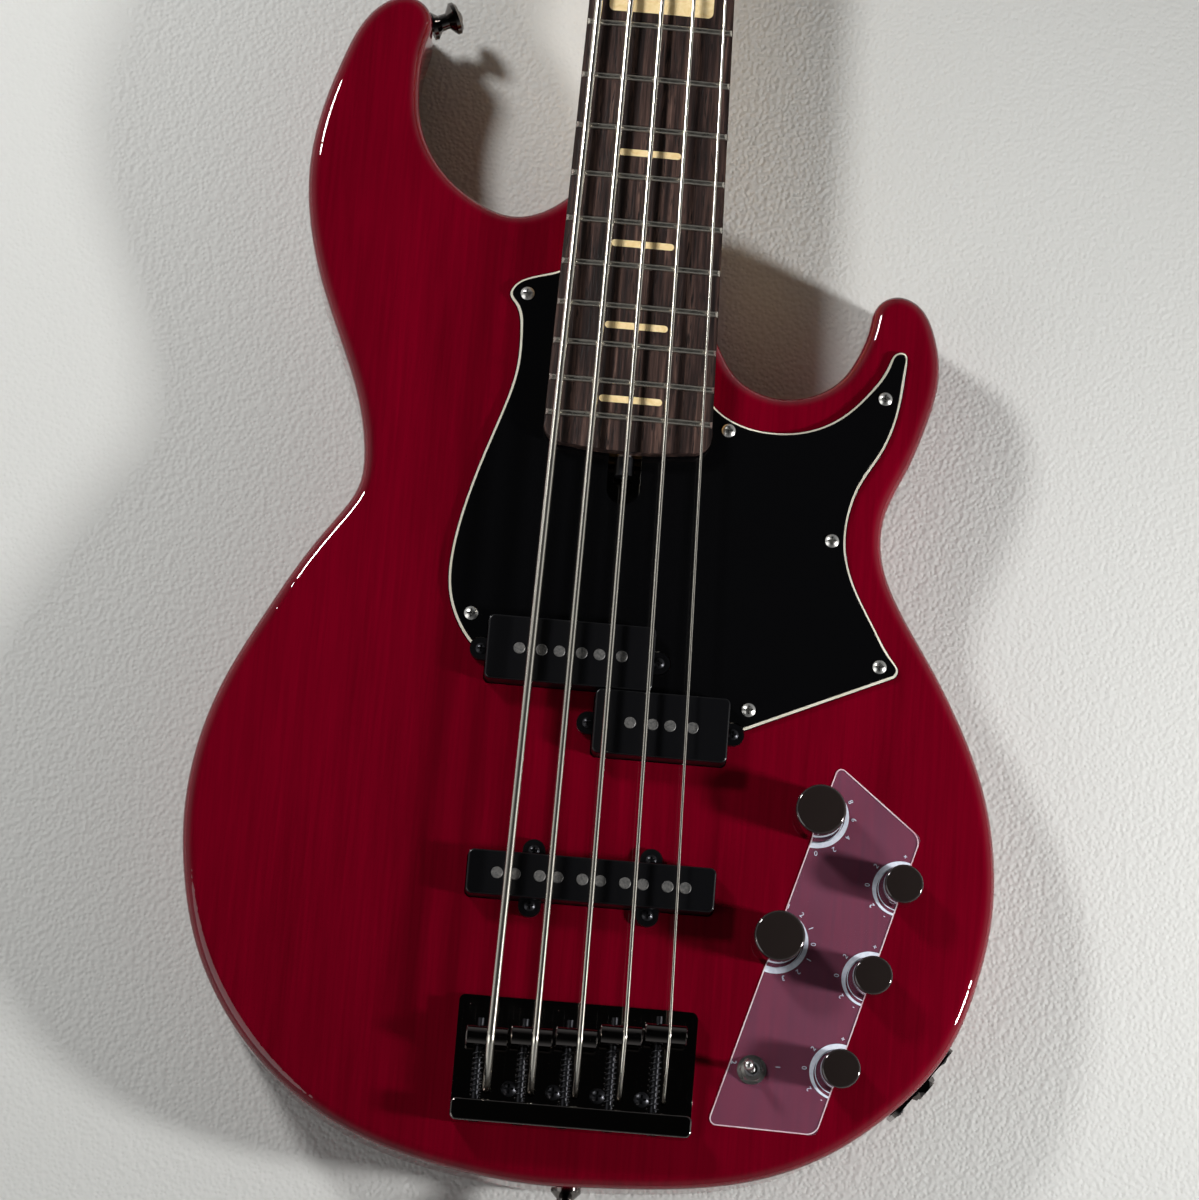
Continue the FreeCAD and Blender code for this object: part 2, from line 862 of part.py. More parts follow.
def frets():
    solids = []
    for n in range(1, fret_count + 1):
        y = fret_y(n)
        half = fret_width / 2
        tang = fret_slot / 2 - fit_gap
        left = V(0, y - half, board_top)
        right = V(0, y + half, board_top)
        corners = [V(0, y + tang, board_top), V(0, y + tang, board_top - fret_tang)]
        corners += [V(0, y - tang, board_top - fret_tang), V(0, y - tang, board_top)]
        edges = [Part.Arc(left, V(0, y, board_top + fret_height), right).toShape()]
        edges.append(Part.LineSegment(right, corners[0]).toShape())
        for k in range(3):
            edges.append(Part.LineSegment(corners[k], corners[k + 1]).toShape())
        edges.append(Part.LineSegment(corners[3], left).toShape())
        face = Part.Face(Part.Wire(edges))
        sweep = math.degrees(math.asin(half_width(y) / board_radius))
        pivot = V(0, y, board_top - board_radius)
        face.rotate(pivot, V(0, 1, 0), -sweep)
        solids.append(face.revolve(pivot, V(0, 1, 0), 2 * sweep))
    return group(solids)


def nut():
    half = half_width(scale_length)
    top = nut_slot_bottom(2) + string_diameters[0] * nut_cover
    block = box(-half, half, scale_length, scale_length + nut_length, neck_top, top)
    cutters = []
    for i in range(5):
        slot = string_diameters[i] / 2 + seat_gap
        z = nut_slot_bottom(i) + string_diameters[i] / 2
        start = V(nut_x(i), scale_length - 2, z)
        cutters.append(rod_along(start, string_heading(i), nut_length + 4, slot))
        cutters.append(box(nut_x(i) - slot, nut_x(i) + slot, scale_length - 2, scale_length + 12, z, top + 2))
        under = V(nut_x(i), scale_length, z)
        fall = (wrap_start(i) if i not in (2, 3) else tree_point(i)) - under
        cutters.append(rod_along(under, fall, 12, slot))
    return block.cut(cutters)


# Neck joint

def neck_screw_places():
    dx = plate_width / 2 - plate_screw_inset
    dy = plate_length / 2 - plate_screw_inset
    return [(plate_x + sx * dx, plate_y + sy * dy) for sx in (-1, 1) for sy in (-1, 1)]


def neck_plate_blank(gap):
    loop = rounded_rectangle(plate_x, plate_y, plate_width + 2 * gap, plate_length + 2 * gap, plate_corner)
    return prism(loop, 0, plate_thickness)


def neck_plate():
    plate = neck_plate_blank(0)
    cutters = []
    for x, y in neck_screw_places():
        cutters.append(Part.makeCone(neck_screw_head, neck_screw_radius, plate_thickness, V(x, y, 0)))
        cutters.append(rod(x, y, -1, plate_thickness + 1, neck_screw_radius + fit_gap))
    return plate.cut(cutters)


def neck_screws():
    solids = []
    for x, y in neck_screw_places():
        head = Part.makeCone(neck_screw_head, neck_screw_radius, plate_thickness, V(x, y, 0))
        shank = rod(x, y, plate_thickness * 0.5, neck_screw_length, neck_screw_radius)
        arm = neck_screw_head * 0.55
        blade = neck_screw_head * 0.13
        cross = box(x - arm, x + arm, y - blade, y + blade, -1, 1)
        cross = cross.fuse(box(x - blade, x + blade, y - arm, y + arm, -1, 1))
        solids.append(fused([head, shank]).cut(cross))
    return group(solids)


# Pickups

def split_poles(pickup, count):
    cx, cy = pickup[0], pickup[1]
    places = []
    for k in range(count):
        x = cx + (k - (count - 1) / 2) * split_pair_spacing
        places.append((x - split_pole_gap / 2, cy))
        places.append((x + split_pole_gap / 2, cy))
    return places


def bridge_poles():
    cx, cy = bridge_pickup[0], bridge_pickup[1]
    places = []
    for k in range(5):
        x = cx + (k - 2) * bridge_pair_spacing
        places.append((x - bridge_pole_gap / 2, cy))
        places.append((x + bridge_pole_gap / 2, cy))
    return places


def end_ears(pickup):
    cx, cy, length, depth = pickup
    reach = length / 2 + ear_reach
    return [(cx - reach, cy), (cx + reach, cy)]


def side_ears(pickup):
    cx, cy, length, depth = pickup
    reach = depth / 2 + ear_reach
    half = bridge_ear_spacing / 2
    return [(cx + sx * half, cy + sy * reach) for sx in (-1, 1) for sy in (-1, 1)]


def pickups():
    # Cover, its pole places and its ears
    return [
        (split_bass, split_poles(split_bass, 3), end_ears(split_bass)),
        (split_treble, split_poles(split_treble, 2), end_ears(split_treble)),
        (bridge_pickup, bridge_poles(), side_ears(bridge_pickup)),
    ]


def cover_loop(pickup, gap):
    cx, cy, length, depth = pickup
    return rounded_rectangle(cx, cy, length + 2 * gap, depth + 2 * gap, cover_corner)


def ear_solid(pickup, ear, gap, z0, z1):
    # Lobe with a neck back to the cover's wall
    x, y = ear
    cx, cy, length, depth = pickup
    r = ear_radius + gap
    lobe = rod(x, y, z0, z1, r)
    if abs(y - cy) < 1e-6:
        inner = cx + math.copysign(length / 2 - cover_wall, x - cx)
        arm = box(min(x, inner), max(x, inner), y - r, y + r, z0, z1)
    else:
        inner = cy + math.copysign(depth / 2 - cover_wall, y - cy)
        arm = box(x - r, x + r, min(y, inner), max(y, inner), z0, z1)
    return lobe.fuse(arm)


def pickup_cover(pickup, poles, ears):
    cx, cy, length, depth = pickup
    outer = prism(cover_loop(pickup, 0), cover_bottom, cover_top)
    rim = [e for e in outer.Edges if e.BoundBox.ZMin > cover_top - 1e-6]
    outer = outer.makeFillet(cover_edge, rim)
    lobes = [ear_solid(pickup, ear, 0, body_top, body_top + ear_thickness) for ear in ears]
    outer = fused([outer] + lobes)
    room = rounded_rectangle(cx, cy, length - 2 * cover_wall, depth - 2 * cover_wall, cover_corner - cover_wall)
    cutters = [prism(room, cover_bottom - 1, cover_top - cover_wall)]
    for x, y in poles:
        cutters.append(rod(x, y, cover_bottom, cover_top + 1, pole_radius + fit_gap))
    for x, y in ears:
        cutters.append(rod(x, y, body_top - 1, body_top + ear_thickness + 1, small_shank_radius + seat_gap))
    return outer.cut(cutters)


def pickup_covers():
    return group([pickup_cover(*parts) for parts in pickups()])


def pickup_coils():
    # Wound bobbin that fills each cover
    solids = []
    for pickup, poles, ears in pickups():
        cx, cy, length, depth = pickup
        inset = 2 * (cover_wall + seat_gap)
        loop = rounded_rectangle(cx, cy, length - inset, depth - inset, cover_corner - cover_wall)
        block = prism(loop, cover_bottom - coil_sunk, cover_top - cover_wall - seat_gap)
        holes = [rod(x, y, 0, cover_top, pole_radius + fit_gap) for x, y in poles]
        solids.append(block.cut(holes))
    return group(solids)


def pickup_pole_pieces():
    solids = []
    for pickup, poles, ears in pickups():
        for x, y in poles:
            top = cover_top + pole_rise
            pole = rod(x, y, top - pole_length, top, pole_radius)
            rim = [e for e in pole.Edges if e.BoundBox.ZMin > top - 1e-6]
            solids.append(pole.makeChamfer(0.25, rim))
    return group(solids)


# Pickguard

def moved_curve(points, inset):
    # Open outline moved to its right-hand side
    curve = spline(flat(points))
    moved = []
    for knot in curve.getKnots():
        way = curve.tangent(knot)[0]
        moved.append(curve.value(knot) + V(way.y, -way.x, 0) * inset)
    return spline(moved), moved


def guard_ply(inset, z0, z1):
    right, right_points = moved_curve(guard_right, inset)
    left, left_points = moved_curve(guard_left, inset)
    low = V(guard_low_end[0], guard_low_end[1], 0)
    corner = V(guard_right[-1][0], guard_right[-1][1], 0)
    way = (low - corner).normalize()
    low = low + V(way.y, -way.x, 0) * inset
    stops = [right_points[-1], low] + flat(guard_under_pickups) + [left_points[0]]
    edges = smooth_edges(right, 4)
    for k in range(len(stops) - 1):
        edges.append(Part.LineSegment(stops[k], stops[k + 1]).toShape())
    edges.extend(smooth_edges(left, 3))
    edges.append(Part.LineSegment(left_points[-1], right_points[0]).toShape())
    ply = prism(Part.Wire(edges), z0, z1)
    cutters = [prism(neck_plan(heel_end, seat_gap, heel_curve_start), z0 - 1, z1 + 1)]
    cutters.append(well(z0 - 1, z1 + 1))
    for pickup, poles, ears in pickups()[:2]:
        cutters.append(prism(cover_loop(pickup, shell_gap), z0 - 1, z1 + 1))
        for ear in ears:
            cutters.append(ear_solid(pickup, ear, shell_gap, z0 - 1, z1 + 1))
    for x, y in guard_screws:
        cutters.append(rod(x, y, z0 - 1, z1 + 1, guard_shank_radius + fit_gap))
    whole = ply.cut(cutters)
    return max(whole.Solids, key=lambda solid: solid.Volume)


def well(z0, z1):
    # Slot with a round end that gives a wrench room at the truss rod nut
    half = well_width / 2
    slot = box(-half, half, well_end + half, heel_end + 12, z0, z1)
    return slot.fuse(rod(0, well_end + half, z0, z1, half))


def pickguard():
    low_top = body_top + ply_black_low
    white_top = low_top + ply_white
    return group([
        guard_ply(0, body_top, low_top),
        guard_ply(dark_line + white_line, white_top, guard_top),
    ])


def pickguard_white_ply():
    low_top = body_top + ply_black_low
    return group([guard_ply(dark_line, low_top, low_top + ply_white)])


def pickguard_screws():
    solids = []
    for x, y in guard_screws:
        solids.append(cross_screw(V(x, y, guard_top), up, guard_head_radius, guard_head_height,
                                  guard_shank_radius, guard_screw_length))
    return group(solids)


# Bridge

def bridge_screw_places():
    return [((k - 1.5) * saddle_spacing, bridge_screw_y) for k in range(4)]


def intonation_z():
    return body_top + intonation_height


def intonation_x(i):
    return saddle_x(i) + intonation_offset


def height_screw_x(i):
    centre = saddle_x(i) + saddle_offset
    return [centre - height_screw_spacing / 2, centre + height_screw_spacing / 2]


def bridge_plate():
    middle = (bridge_front + bridge_back) / 2
    depth = bridge_front - bridge_back
    base = prism(rounded_rectangle(bridge_x, middle, bridge_width, depth, bridge_corner), body_top, plate_top)
    left = bridge_x - bridge_width / 2
    right = bridge_x + bridge_width / 2
    wall_loop = rounded_rectangle(bridge_x, bridge_back + wall_thickness / 2, bridge_width, wall_thickness,
                                  bridge_corner)
    wall = prism(wall_loop, body_top, body_top + wall_height)
    rim = [e for e in wall.Edges if e.BoundBox.ZMin > body_top + wall_height - 1e-6]
    wall = wall.makeFillet(1.0, rim)
    rail_top = plate_top + rail_height
    front = bridge_front - bridge_corner
    rails = [
        box(left, left + rail_width, wall_front - 1, front, body_top, rail_top),
        box(right - rail_width, right, wall_front - 1, front, body_top, rail_top),
    ]
    solid = fused([base, wall] + rails)
    cutters = []
    for x, y in bridge_screw_places():
        cutters.append(rod(x, y, body_top - 1, plate_top + 1, bridge_shank_radius + fit_gap))
    for i in range(5):
        hole = string_diameters[i] / 2 + string_hole_gap
        cutters.append(rod(saddle_x(i), string_hole_y, body_top - 1, plate_top + 1, hole))
        start = V(intonation_x(i), bridge_back - 1, intonation_z())
        cutters.append(rod_along(start, V(0, 1, 0), wall_thickness + 2, intonation_radius + fit_gap))
        cutters.append(rod_along(start, V(0, 1, 0), 1 + intonation_recess, intonation_head + seat_gap))
        for x in height_screw_x(i):
            half = height_screw_radius + fit_gap
            groove = box(x - half, x + half, wall_front + 10, bridge_front - 3.5, plate_top - rail_groove_depth,
                         plate_top + 1)
            cutters.append(groove)
    return solid.cut(cutters)


def bridge_screws():
    solids = []
    for x, y in bridge_screw_places():
        solids.append(cross_screw(V(x, y, plate_top), up, bridge_head_radius, bridge_head_height,
                                  bridge_shank_radius, bridge_screw_length))
    for i in range(5):
        seat = bridge_back + intonation_recess
        length = saddle_axis(i).y + saddle_radius + 3 - seat
        solids.append(cross_screw(V(intonation_x(i), seat, intonation_z()), V(0, -1, 0), intonation_head,
                                  intonation_head_height, intonation_radius, length))
    return group(solids)


def saddle(i):
    axis = saddle_axis(i)
    start = axis - V(saddle_length / 2, 0, 0)
    barrel = rod_along(start, V(1, 0, 0), saddle_length, saddle_radius)
    barrel = barrel.makeChamfer(0.5, [e for e in barrel.Edges if e.BoundBox.XLength < 1e-6])
    groove_radius = saddle_radius - saddle_groove + string_diameters[i] / 2
    notch = Part.makeTorus(groove_radius, string_diameters[i] / 2 + seat_gap, V(saddle_x(i), axis.y, axis.z),
                           V(1, 0, 0))
    bore = rod_along(V(intonation_x(i), axis.y - 10, intonation_z()), V(0, 1, 0), 20,
                     intonation_radius + fit_gap)
    cutters = [notch, bore]
    screws = []
    foot = plate_top - rail_groove_depth + fit_gap
    for x in height_screw_x(i):
        top = axis.z + saddle_radius + height_screw_proud
        screw = rod(x, axis.y, foot, top, height_screw_radius)
        socket = rod(x, axis.y, top - 1.2, top + 1, height_screw_radius * 0.55)
        screws.append(screw.cut(socket))
        cutters.append(rod(x, axis.y, axis.z - 10, axis.z + 10, height_screw_radius))
    return group([barrel.cut(cutters)] + screws)


def spring_edges(i):
    # Helix round the intonation screw, from the saddle's back to the wall
    axis = saddle_axis(i)
    x = intonation_x(i)
    z = intonation_z()
    drop = axis.z - z
    start_y = axis.y - math.sqrt(saddle_radius ** 2 - drop ** 2) - seat_gap
    end_y = wall_front + seat_gap
    length = start_y - end_y
    lead = spring_wire * 2.2
    turns = max(2, round((length - 2 * lead) / spring_pitch))
    pitch = (length - 2 * lead) / turns

    def on_helix(quarter):
        angle = quarter * math.pi / 2
        y = start_y - lead - pitch * quarter / 4
        return V(x + spring_radius * math.cos(angle), y, z + spring_radius * math.sin(angle))

    def way_at(quarter):
        angle = quarter * math.pi / 2
        way = V(-spring_radius * math.sin(angle), -pitch / (2 * math.pi), spring_radius * math.cos(angle))
        return way.normalize()

    def lead_end(angle, y):
        return V(x + spring_radius * math.cos(angle), y, z + spring_radius * math.sin(angle))

    back = V(0, -1, 0)
    first = lead_end(-math.pi / 3, start_y)
    first_turn = first + back * spring_wire
    last = lead_end(math.pi / 3, end_y)
    last_turn = last - back * spring_wire
    edges = [Part.LineSegment(first, first_turn).toShape()]
    edges.extend(biarc(first_turn, back, on_helix(0), way_at(0)))
    for quarter in range(4 * turns):
        edges.extend(biarc(on_helix(quarter), way_at(quarter), on_helix(quarter + 1), way_at(quarter + 1)))
    edges.extend(biarc(on_helix(4 * turns), way_at(0), last_turn, back))
    edges.append(Part.LineSegment(last_turn, last).toShape())
    return edges, turns


def saddle_springs():
    solids = []
    for i in range(5):
        edges, turns = spring_edges(i)
        solid, ratio = tube(edges, spring_wire / 2)
        gap = least_gap(edges, spring_wire, 4 * spring_wire)
        print("spring", i, "turns", turns, "volume ratio", round(ratio, 4), "least gap", round(gap, 2))
        solids.append(solid)
    return group(solids)


def string_ferrules():
    solids = []
    for i in range(5):
        x = saddle_x(i)
        ring = rod(x, string_hole_y, 0, ferrule_length, ferrule_radius)
        bore = rod(x, string_hole_y, -1, ball_length + 1, ball_radius + seat_gap)
        hole = rod(x, string_hole_y, 0, ferrule_length + 1, string_diameters[i] / 2 + seat_gap)
        solids.append(ring.cut([bore, hole]))
    return group(solids)


# Controls

def pot_places():
    return [(x, y) for x, y, size in knobs.values()]


def film_loop():
    return rounded_loop(flat(film_corners), film_corner)


def control_film():
    sheet = prism(film_loop(), body_top, film_top)
    holes = [rod(x, y, body_top - 1, film_top + 1, pot_bush_radius + seat_gap) for x, y in pot_places()]
    x, y = toggle_place
    holes.append(rod(x, y, body_top - 1, film_top + 1, toggle_bush_radius + seat_gap))
    return sheet.cut(holes)


def potentiometers():
    solids = []
    for x, y in pot_places():
        case = rod(x, y, ceiling - pot_case_height, ceiling, pot_case_radius)
        bush = rod(x, y, ceiling, film_top + pot_bush_rise, pot_bush_radius)
        lugs = [box(x + k * 4 - 0.8, x + k * 4 + 0.8, y - pot_case_radius - 4, y - pot_case_radius + 1,
                    ceiling - 2.4, ceiling - 1.2) for k in (-1, 0, 1)]
        bore = rod(x, y, ceiling - 2, film_top + pot_bush_rise + 1, pot_shaft_radius + fit_gap)
        solids.append(fused([case, bush] + lugs).cut(bore))
    return group(solids)


def hex_nut(x, y, z, radius, height, bore):
    corners = [V(radius * math.cos(k * math.pi / 3), radius * math.sin(k * math.pi / 3), 0) for k in range(6)]
    loop = Part.makePolygon(corners + [corners[0]])
    nut_solid = prism(loop, 0, height)
    nut_solid = nut_solid.common(Part.makeCone(radius * 1.06, radius * 0.9, height))
    nut_solid = nut_solid.cut(Part.makeCylinder(bore, height))
    nut_solid.translate(V(x, y, z))
    return nut_solid


def control_nuts():
    solids = []
    for x, y in pot_places():
        solids.append(hex_nut(x, y, film_top, control_nut_radius, control_nut_height, pot_bush_radius + fit_gap))
    x, y = toggle_place
    washer = rod(x, y, film_top, film_top + 0.6, control_nut_radius + 0.4)
    solids.append(washer.cut(rod(x, y, body_top, film_top + 1, toggle_bush_radius + fit_gap)))
    solids.append(hex_nut(x, y, film_top + 0.6, control_nut_radius - 0.6, control_nut_height,
                          toggle_bush_radius + fit_gap))
    return group(solids)


def knob(x, y, size):
    radius, height = knob_sizes[size]
    bottom = film_top + knob_gap
    top = bottom + height
    outer = rod(x, y, bottom, top, radius)
    rim = [e for e in outer.Edges if e.BoundBox.ZMin > top - 1e-6]
    outer = outer.makeChamfer(knob_edge, rim)
    room = rod(x, y, bottom - 1, bottom + knob_hollow_height, control_nut_radius + 0.7)
    shaft_top = top - 4
    bore = rod(x, y, bottom, shaft_top, pot_shaft_radius)
    shaft_solid = rod(x, y, ceiling - 1.8, shaft_top, pot_shaft_radius)
    pointer = rod_along(V(x, y + radius + 1, bottom + height * 0.4), V(0, -1, 0), radius - pot_shaft_radius + 1, 1.2)
    return group([outer.cut([room, bore, pointer]), shaft_solid])


def film_way():
    # Direction of the film's long left edge
    low = flat(film_corners)[0]
    high = flat(film_corners)[3]
    return (high - low).normalize()


def toggle_switch_case():
    x, y = toggle_place
    length, width, height = toggle_case
    case = box(x - width / 2, x + width / 2, y - length / 2, y + length / 2, ceiling - height, ceiling)
    bush = rod(x, y, ceiling, film_top + toggle_bush_rise, toggle_bush_radius)
    lugs = [box(x - 1, x + 1, y + k * 4 - 0.4, y + k * 4 + 0.4, ceiling - height - 4, ceiling - height)
            for k in (-1, 0, 1)]
    bore = rod(x, y, toggle_pivot().z - 6, film_top + toggle_bush_rise + 1, toggle_bore_radius)
    return fused([case, bush] + lugs).cut(bore)


def toggle_pivot():
    x, y = toggle_place
    return V(x, y, film_top + toggle_bush_rise - 2.0)


def toggle_lever():
    pivot = toggle_pivot()
    ball = Part.makeSphere(toggle_ball_radius)
    stem = Part.makeCone(toggle_neck_radius, toggle_tip_radius, toggle_length - toggle_tip_radius)
    tip = Part.makeSphere(toggle_tip_radius, V(0, 0, toggle_length - toggle_tip_radius))
    reach = toggle_bore_radius - seat_gap
    pin = rod_along(film_way() * -reach, film_way(), 2 * reach, toggle_pin_radius)
    lever = fused([ball, stem, tip, pin])
    lever.rotate(V(0, 0, 0), film_way(), -toggle_lean)
    lever.translate(pivot)
    return lever


# Cavity, cover and battery

def cavity_loop(gap):
    return rounded_loop(grown(flat(cavity_corners), gap), cavity_corner)


def cover_screw_places():
    # On the ledge, drawn in a little from its corners
    spots = grown(flat(cavity_corners), ledge / 2)
    centre = V(board_place[0], board_place[1], 0)
    places = []
    for k in (0, 1, 3, 4, 5, 6):
        spot = spots[k] + (centre - spots[k]).normalize() * 1.2
        places.append((spot.x, spot.y))
    return places


def control_cover():
    plate = prism(cavity_loop(ledge - seat_gap), 0.2, cover_thickness)
    holes = [rod(x, y, -1, cover_thickness + 1, small_shank_radius + seat_gap) for x, y in cover_screw_places()]
    sinks = [rod(x, y, -1, 0.2 + small_head_height, small_head_radius + seat_gap) for x, y in cover_screw_places()]
    return plate.cut(holes + sinks)


def preamp_board():
    x, y = board_place
    length, width, height = board_size
    board = box(x - length / 2, x + length / 2, y - width / 2, y + width / 2, ceiling - height, ceiling - height + 1.6)
    block = box(x - length / 2 + 4, x + length / 2 - 4, y - width / 2 + 3, y + width / 2 - 3, ceiling - height, ceiling)
    chips = [box(x + k * 8 - 2.5, x + k * 8 + 2.5, y - 4, y + 4, ceiling - height - 2, ceiling - height)
             for k in (-1, 0, 1)]
    return fused([board, block] + chips)


def box_half():
    length, width, height = battery_size
    return length / 2 + box_room + box_wall, width / 2 + box_room + box_wall


def box_top():
    return door_thickness + 0.3 + battery_size[2] + 0.5 + box_wall


def door_axis():
    # The pins lie inside one long side of the box
    x, y = battery_place
    half_x, half_y = box_half()
    return y - half_y + box_wall + 0.25 + door_thickness * 0.9, door_thickness * 0.9


def battery_box():
    x, y = battery_place
    half_x, half_y = box_half()
    outer = box(x - half_x, x + half_x, y - half_y, y + half_y, 0, box_top())
    room = box(x - half_x + box_wall, x + half_x - box_wall, y - half_y + box_wall, y + half_y - box_wall,
               -1, box_top() - box_wall)
    pin_y, pin_z = door_axis()
    bore = rod_along(V(x - half_x - 1, pin_y, pin_z), V(1, 0, 0), 2 * half_x + 2, door_pin_radius + fit_gap)
    return outer.cut([room, bore])


def battery_door():
    x, y = battery_place
    half_x, half_y = box_half()
    inner_x = half_x - box_wall - 0.25
    pin_y, pin_z = door_axis()
    far_y = y + half_y - box_wall - 0.25
    plate = box(x - inner_x, x + inner_x, pin_y, far_y, 0, door_thickness)
    edge = rod_along(V(x - inner_x, pin_y, pin_z), V(1, 0, 0), 2 * inner_x, pin_z)
    edge = edge.common(box(x - half_x, x + half_x, pin_y - 5, pin_y + 5, 0, door_thickness + 5))
    pin_reach = door_pin_length + 0.25
    pins = rod_along(V(x - inner_x - pin_reach, pin_y, pin_z), V(1, 0, 0), 2 * (inner_x + pin_reach),
                     door_pin_radius)
    notch = rod(x, far_y + 4, -1, 0.9, 9.0)
    return fused([plate, edge, pins]).cut(notch)


def battery():
    x, y = battery_place
    length, width, height = battery_size
    low = door_thickness + 0.3
    y_low = y - width / 2 + 0.6
    block = box(x - length / 2, x + length / 2, y_low, y_low + width, low, low + height)
    block = block.makeFillet(1.5, [e for e in block.Edges if e.BoundBox.XLength > length - 1e-6])
    ends = [rod_along(V(x + length / 2, y_low + width / 2 + k * 6.3, low + height / 2), V(1, 0, 0), 1.8, 3.2)
            for k in (-1, 1)]
    return fused([block] + ends)


# Jack

def jack_along_way():
    return V(-jack_axis.y, jack_axis.x, 0)


def jack_point(out, along, z):
    return jack_axis * (jack_face + out) + jack_along_way() * (jack_along + along) + V(0, 0, z)


def jack_placement():
    # Local X along the plate, local Y up, local Z out of the body
    turn = FreeCAD.Rotation(jack_along_way(), up, jack_axis, "XYZ")
    return FreeCAD.Placement(jack_point(0, 0, body_thickness / 2), turn)


def jack_plate_blank(gap):
    loop = rounded_rectangle(0, 0, jack_plate_length + 2 * gap, jack_plate_height + 2 * gap, jack_plate_corner)
    return prism(loop, 0, jack_plate_thickness)


def jack_screw_places():
    x = jack_plate_length / 2 - jack_screw_inset
    return [(-x, 0), (x, 0)]


def jack_plate():
    plate = jack_plate_blank(0)
    cutters = [rod(0, 0, -1, jack_plate_thickness + 1, jack_sleeve_radius + fit_gap)]
    for x, y in jack_screw_places():
        cutters.append(rod(x, y, -1, jack_plate_thickness + 1, small_shank_radius + seat_gap))
    plate = plate.cut(cutters)
    plate.Placement = jack_placement()
    return plate


def jack_socket():
    top = jack_plate_thickness + jack_nut_height + 0.6
    case = rod(0, 0, -jack_body_length, 0, jack_body_radius)
    sleeve = rod(0, 0, 0, top, jack_sleeve_radius)
    nut_ring = hex_nut(0, 0, jack_plate_thickness, jack_nut_radius, jack_nut_height, jack_sleeve_radius - 0.5)
    bore = rod(0, 0, -jack_body_length + 2, top + 1, jack_bore_radius)
    socket = fused([case, sleeve, nut_ring]).cut(bore)
    socket.Placement = jack_placement()
    return socket


def jack_screws():
    screws = []
    for x, y in jack_screw_places():
        screw = cross_screw(V(x, y, jack_plate_thickness), up, small_head_radius, small_head_height,
                            small_shank_radius, pickup_screw_length)
        screw.Placement = jack_placement().multiply(screw.Placement)
        screws.append(screw)
    return screws


# Strap buttons

def strap_base(place):
    return place + V(0, 0, body_thickness / 2)


def strap_buttons():
    solids = []
    for place, axis in strap_places:
        profile = [
            (strap_screw_radius, 0), (strap_base_radius, 0), (strap_base_radius, 1.6), (strap_waist_radius, 4.2),
            (strap_waist_radius, 7.6), (strap_head_radius, 10.2), (strap_head_radius, 11.8),
            (strap_head_radius - 1.4, strap_height), (strap_screw_radius, strap_height),
        ]
        solids.append(turned(profile, strap_base(place), axis))
        screw = cross_screw(strap_base(place) + axis * strap_height, axis, strap_screw_radius * 1.6, 1.4,
                            strap_screw_radius, strap_height + strap_screw_length)
        solids.append(screw)
    return group(solids)


# Tuners

def on_tuner(shape, i):
    placed = shape.copy()
    placed.Placement = tuner_placement(i).multiply(placed.Placement)
    return placed


def tuner_screw_local():
    low = tuner_plate_span[2] + 3.2
    high = tuner_plate_span[3] - 3.2
    return [(sx * tuner_screw_x, y) for sx in (-1, 1) for y in (low, high)]


def tuner_screw_places(i):
    spots = []
    for x, y in tuner_screw_local():
        spot = tuner_placement(i).multVec(V(x, y, 0))
        spots.append((spot.x, spot.y))
    return spots


def tuner_plate():
    x0, x1, y0, y1 = tuner_plate_span
    loop = rounded_loop(flat([(x0, y0), (x1, y0), (x1, y1), (x0, y1)]), tuner_plate_corner)
    plate = prism(loop, -tuner_plate_thickness, 0)
    lugs = []
    for side in (-1, 1):
        x = side * lug_place
        low = worm_level - lug_half_width
        lugs.append(box(x - lug_thickness / 2, x + lug_thickness / 2, -worm_offset - lug_half_width,
                        -worm_offset + lug_half_width, low, -tuner_plate_thickness / 2))
    solid = fused([plate] + lugs)
    start = V(-lug_place - lug_thickness, -worm_offset, worm_level)
    cutters = [rod_along(start, V(1, 0, 0), 2 * (lug_place + lug_thickness), key_shaft_radius + fit_gap)]
    cutters.append(rod(0, 0, -tuner_plate_thickness - 1, 1, post_radius + fit_gap))
    for x, y in tuner_screw_local():
        cutters.append(rod(x, y, -tuner_plate_thickness - 1, 1, small_shank_radius + seat_gap))
    return solid.cut(cutters)


def tuner_plates():
    plate = tuner_plate()
    return group([on_tuner(plate, i) for i in range(5)])


def tuner_bushings():
    flange_z = head_thickness + bush_flange_height
    sleeve = rod(0, 0, 0, head_thickness, bush_radius)
    flange = rod(0, 0, head_thickness, flange_z, bush_flange)
    flange = flange.makeChamfer(0.5, [e for e in flange.Edges if e.BoundBox.ZMin > flange_z - 1e-6])
    bush = fused([sleeve, flange]).cut(rod(0, 0, -1, flange_z + 1, post_radius + fit_gap))
    return group([on_tuner(bush, i) for i in range(5)])


def gear_wheel():
    # Spur wheel with one tooth pointing at the worm
    root = gear_pitch_radius - gear_root
    tip = gear_pitch_radius + gear_tip
    low = worm_level - gear_width / 2
    wheel = rod(0, 0, low, low + gear_width, root)
    teeth = []
    for k in range(gear_teeth):
        a = tooth_root_width / 2 * 1.05
        b = tooth_tip_width / 2
        corners = [V(-a, -root + 0.3, low), V(a, -root + 0.3, low), V(b, -tip, low), V(-b, -tip, low)]
        tooth = Part.Face(Part.makePolygon(corners + [corners[0]])).extrude(V(0, 0, gear_width))
        tooth.rotate(V(0, 0, 0), up, 360 * k / gear_teeth)
        teeth.append(tooth)
    return fused([wheel] + teeth)


def tuner_post():
    top = head_thickness + post_height
    low = worm_level - gear_width / 2
    post = rod(0, 0, low - 1, top, post_radius)
    post = post.makeChamfer(0.8, [e for e in post.Edges if e.BoundBox.ZMin > top - 1e-6])
    slot = box(-post_slot / 2, post_slot / 2, -post_radius - 1, post_radius + 1, top - post_slot_depth, top + 1)
    return fused([post, gear_wheel()]).cut(slot)


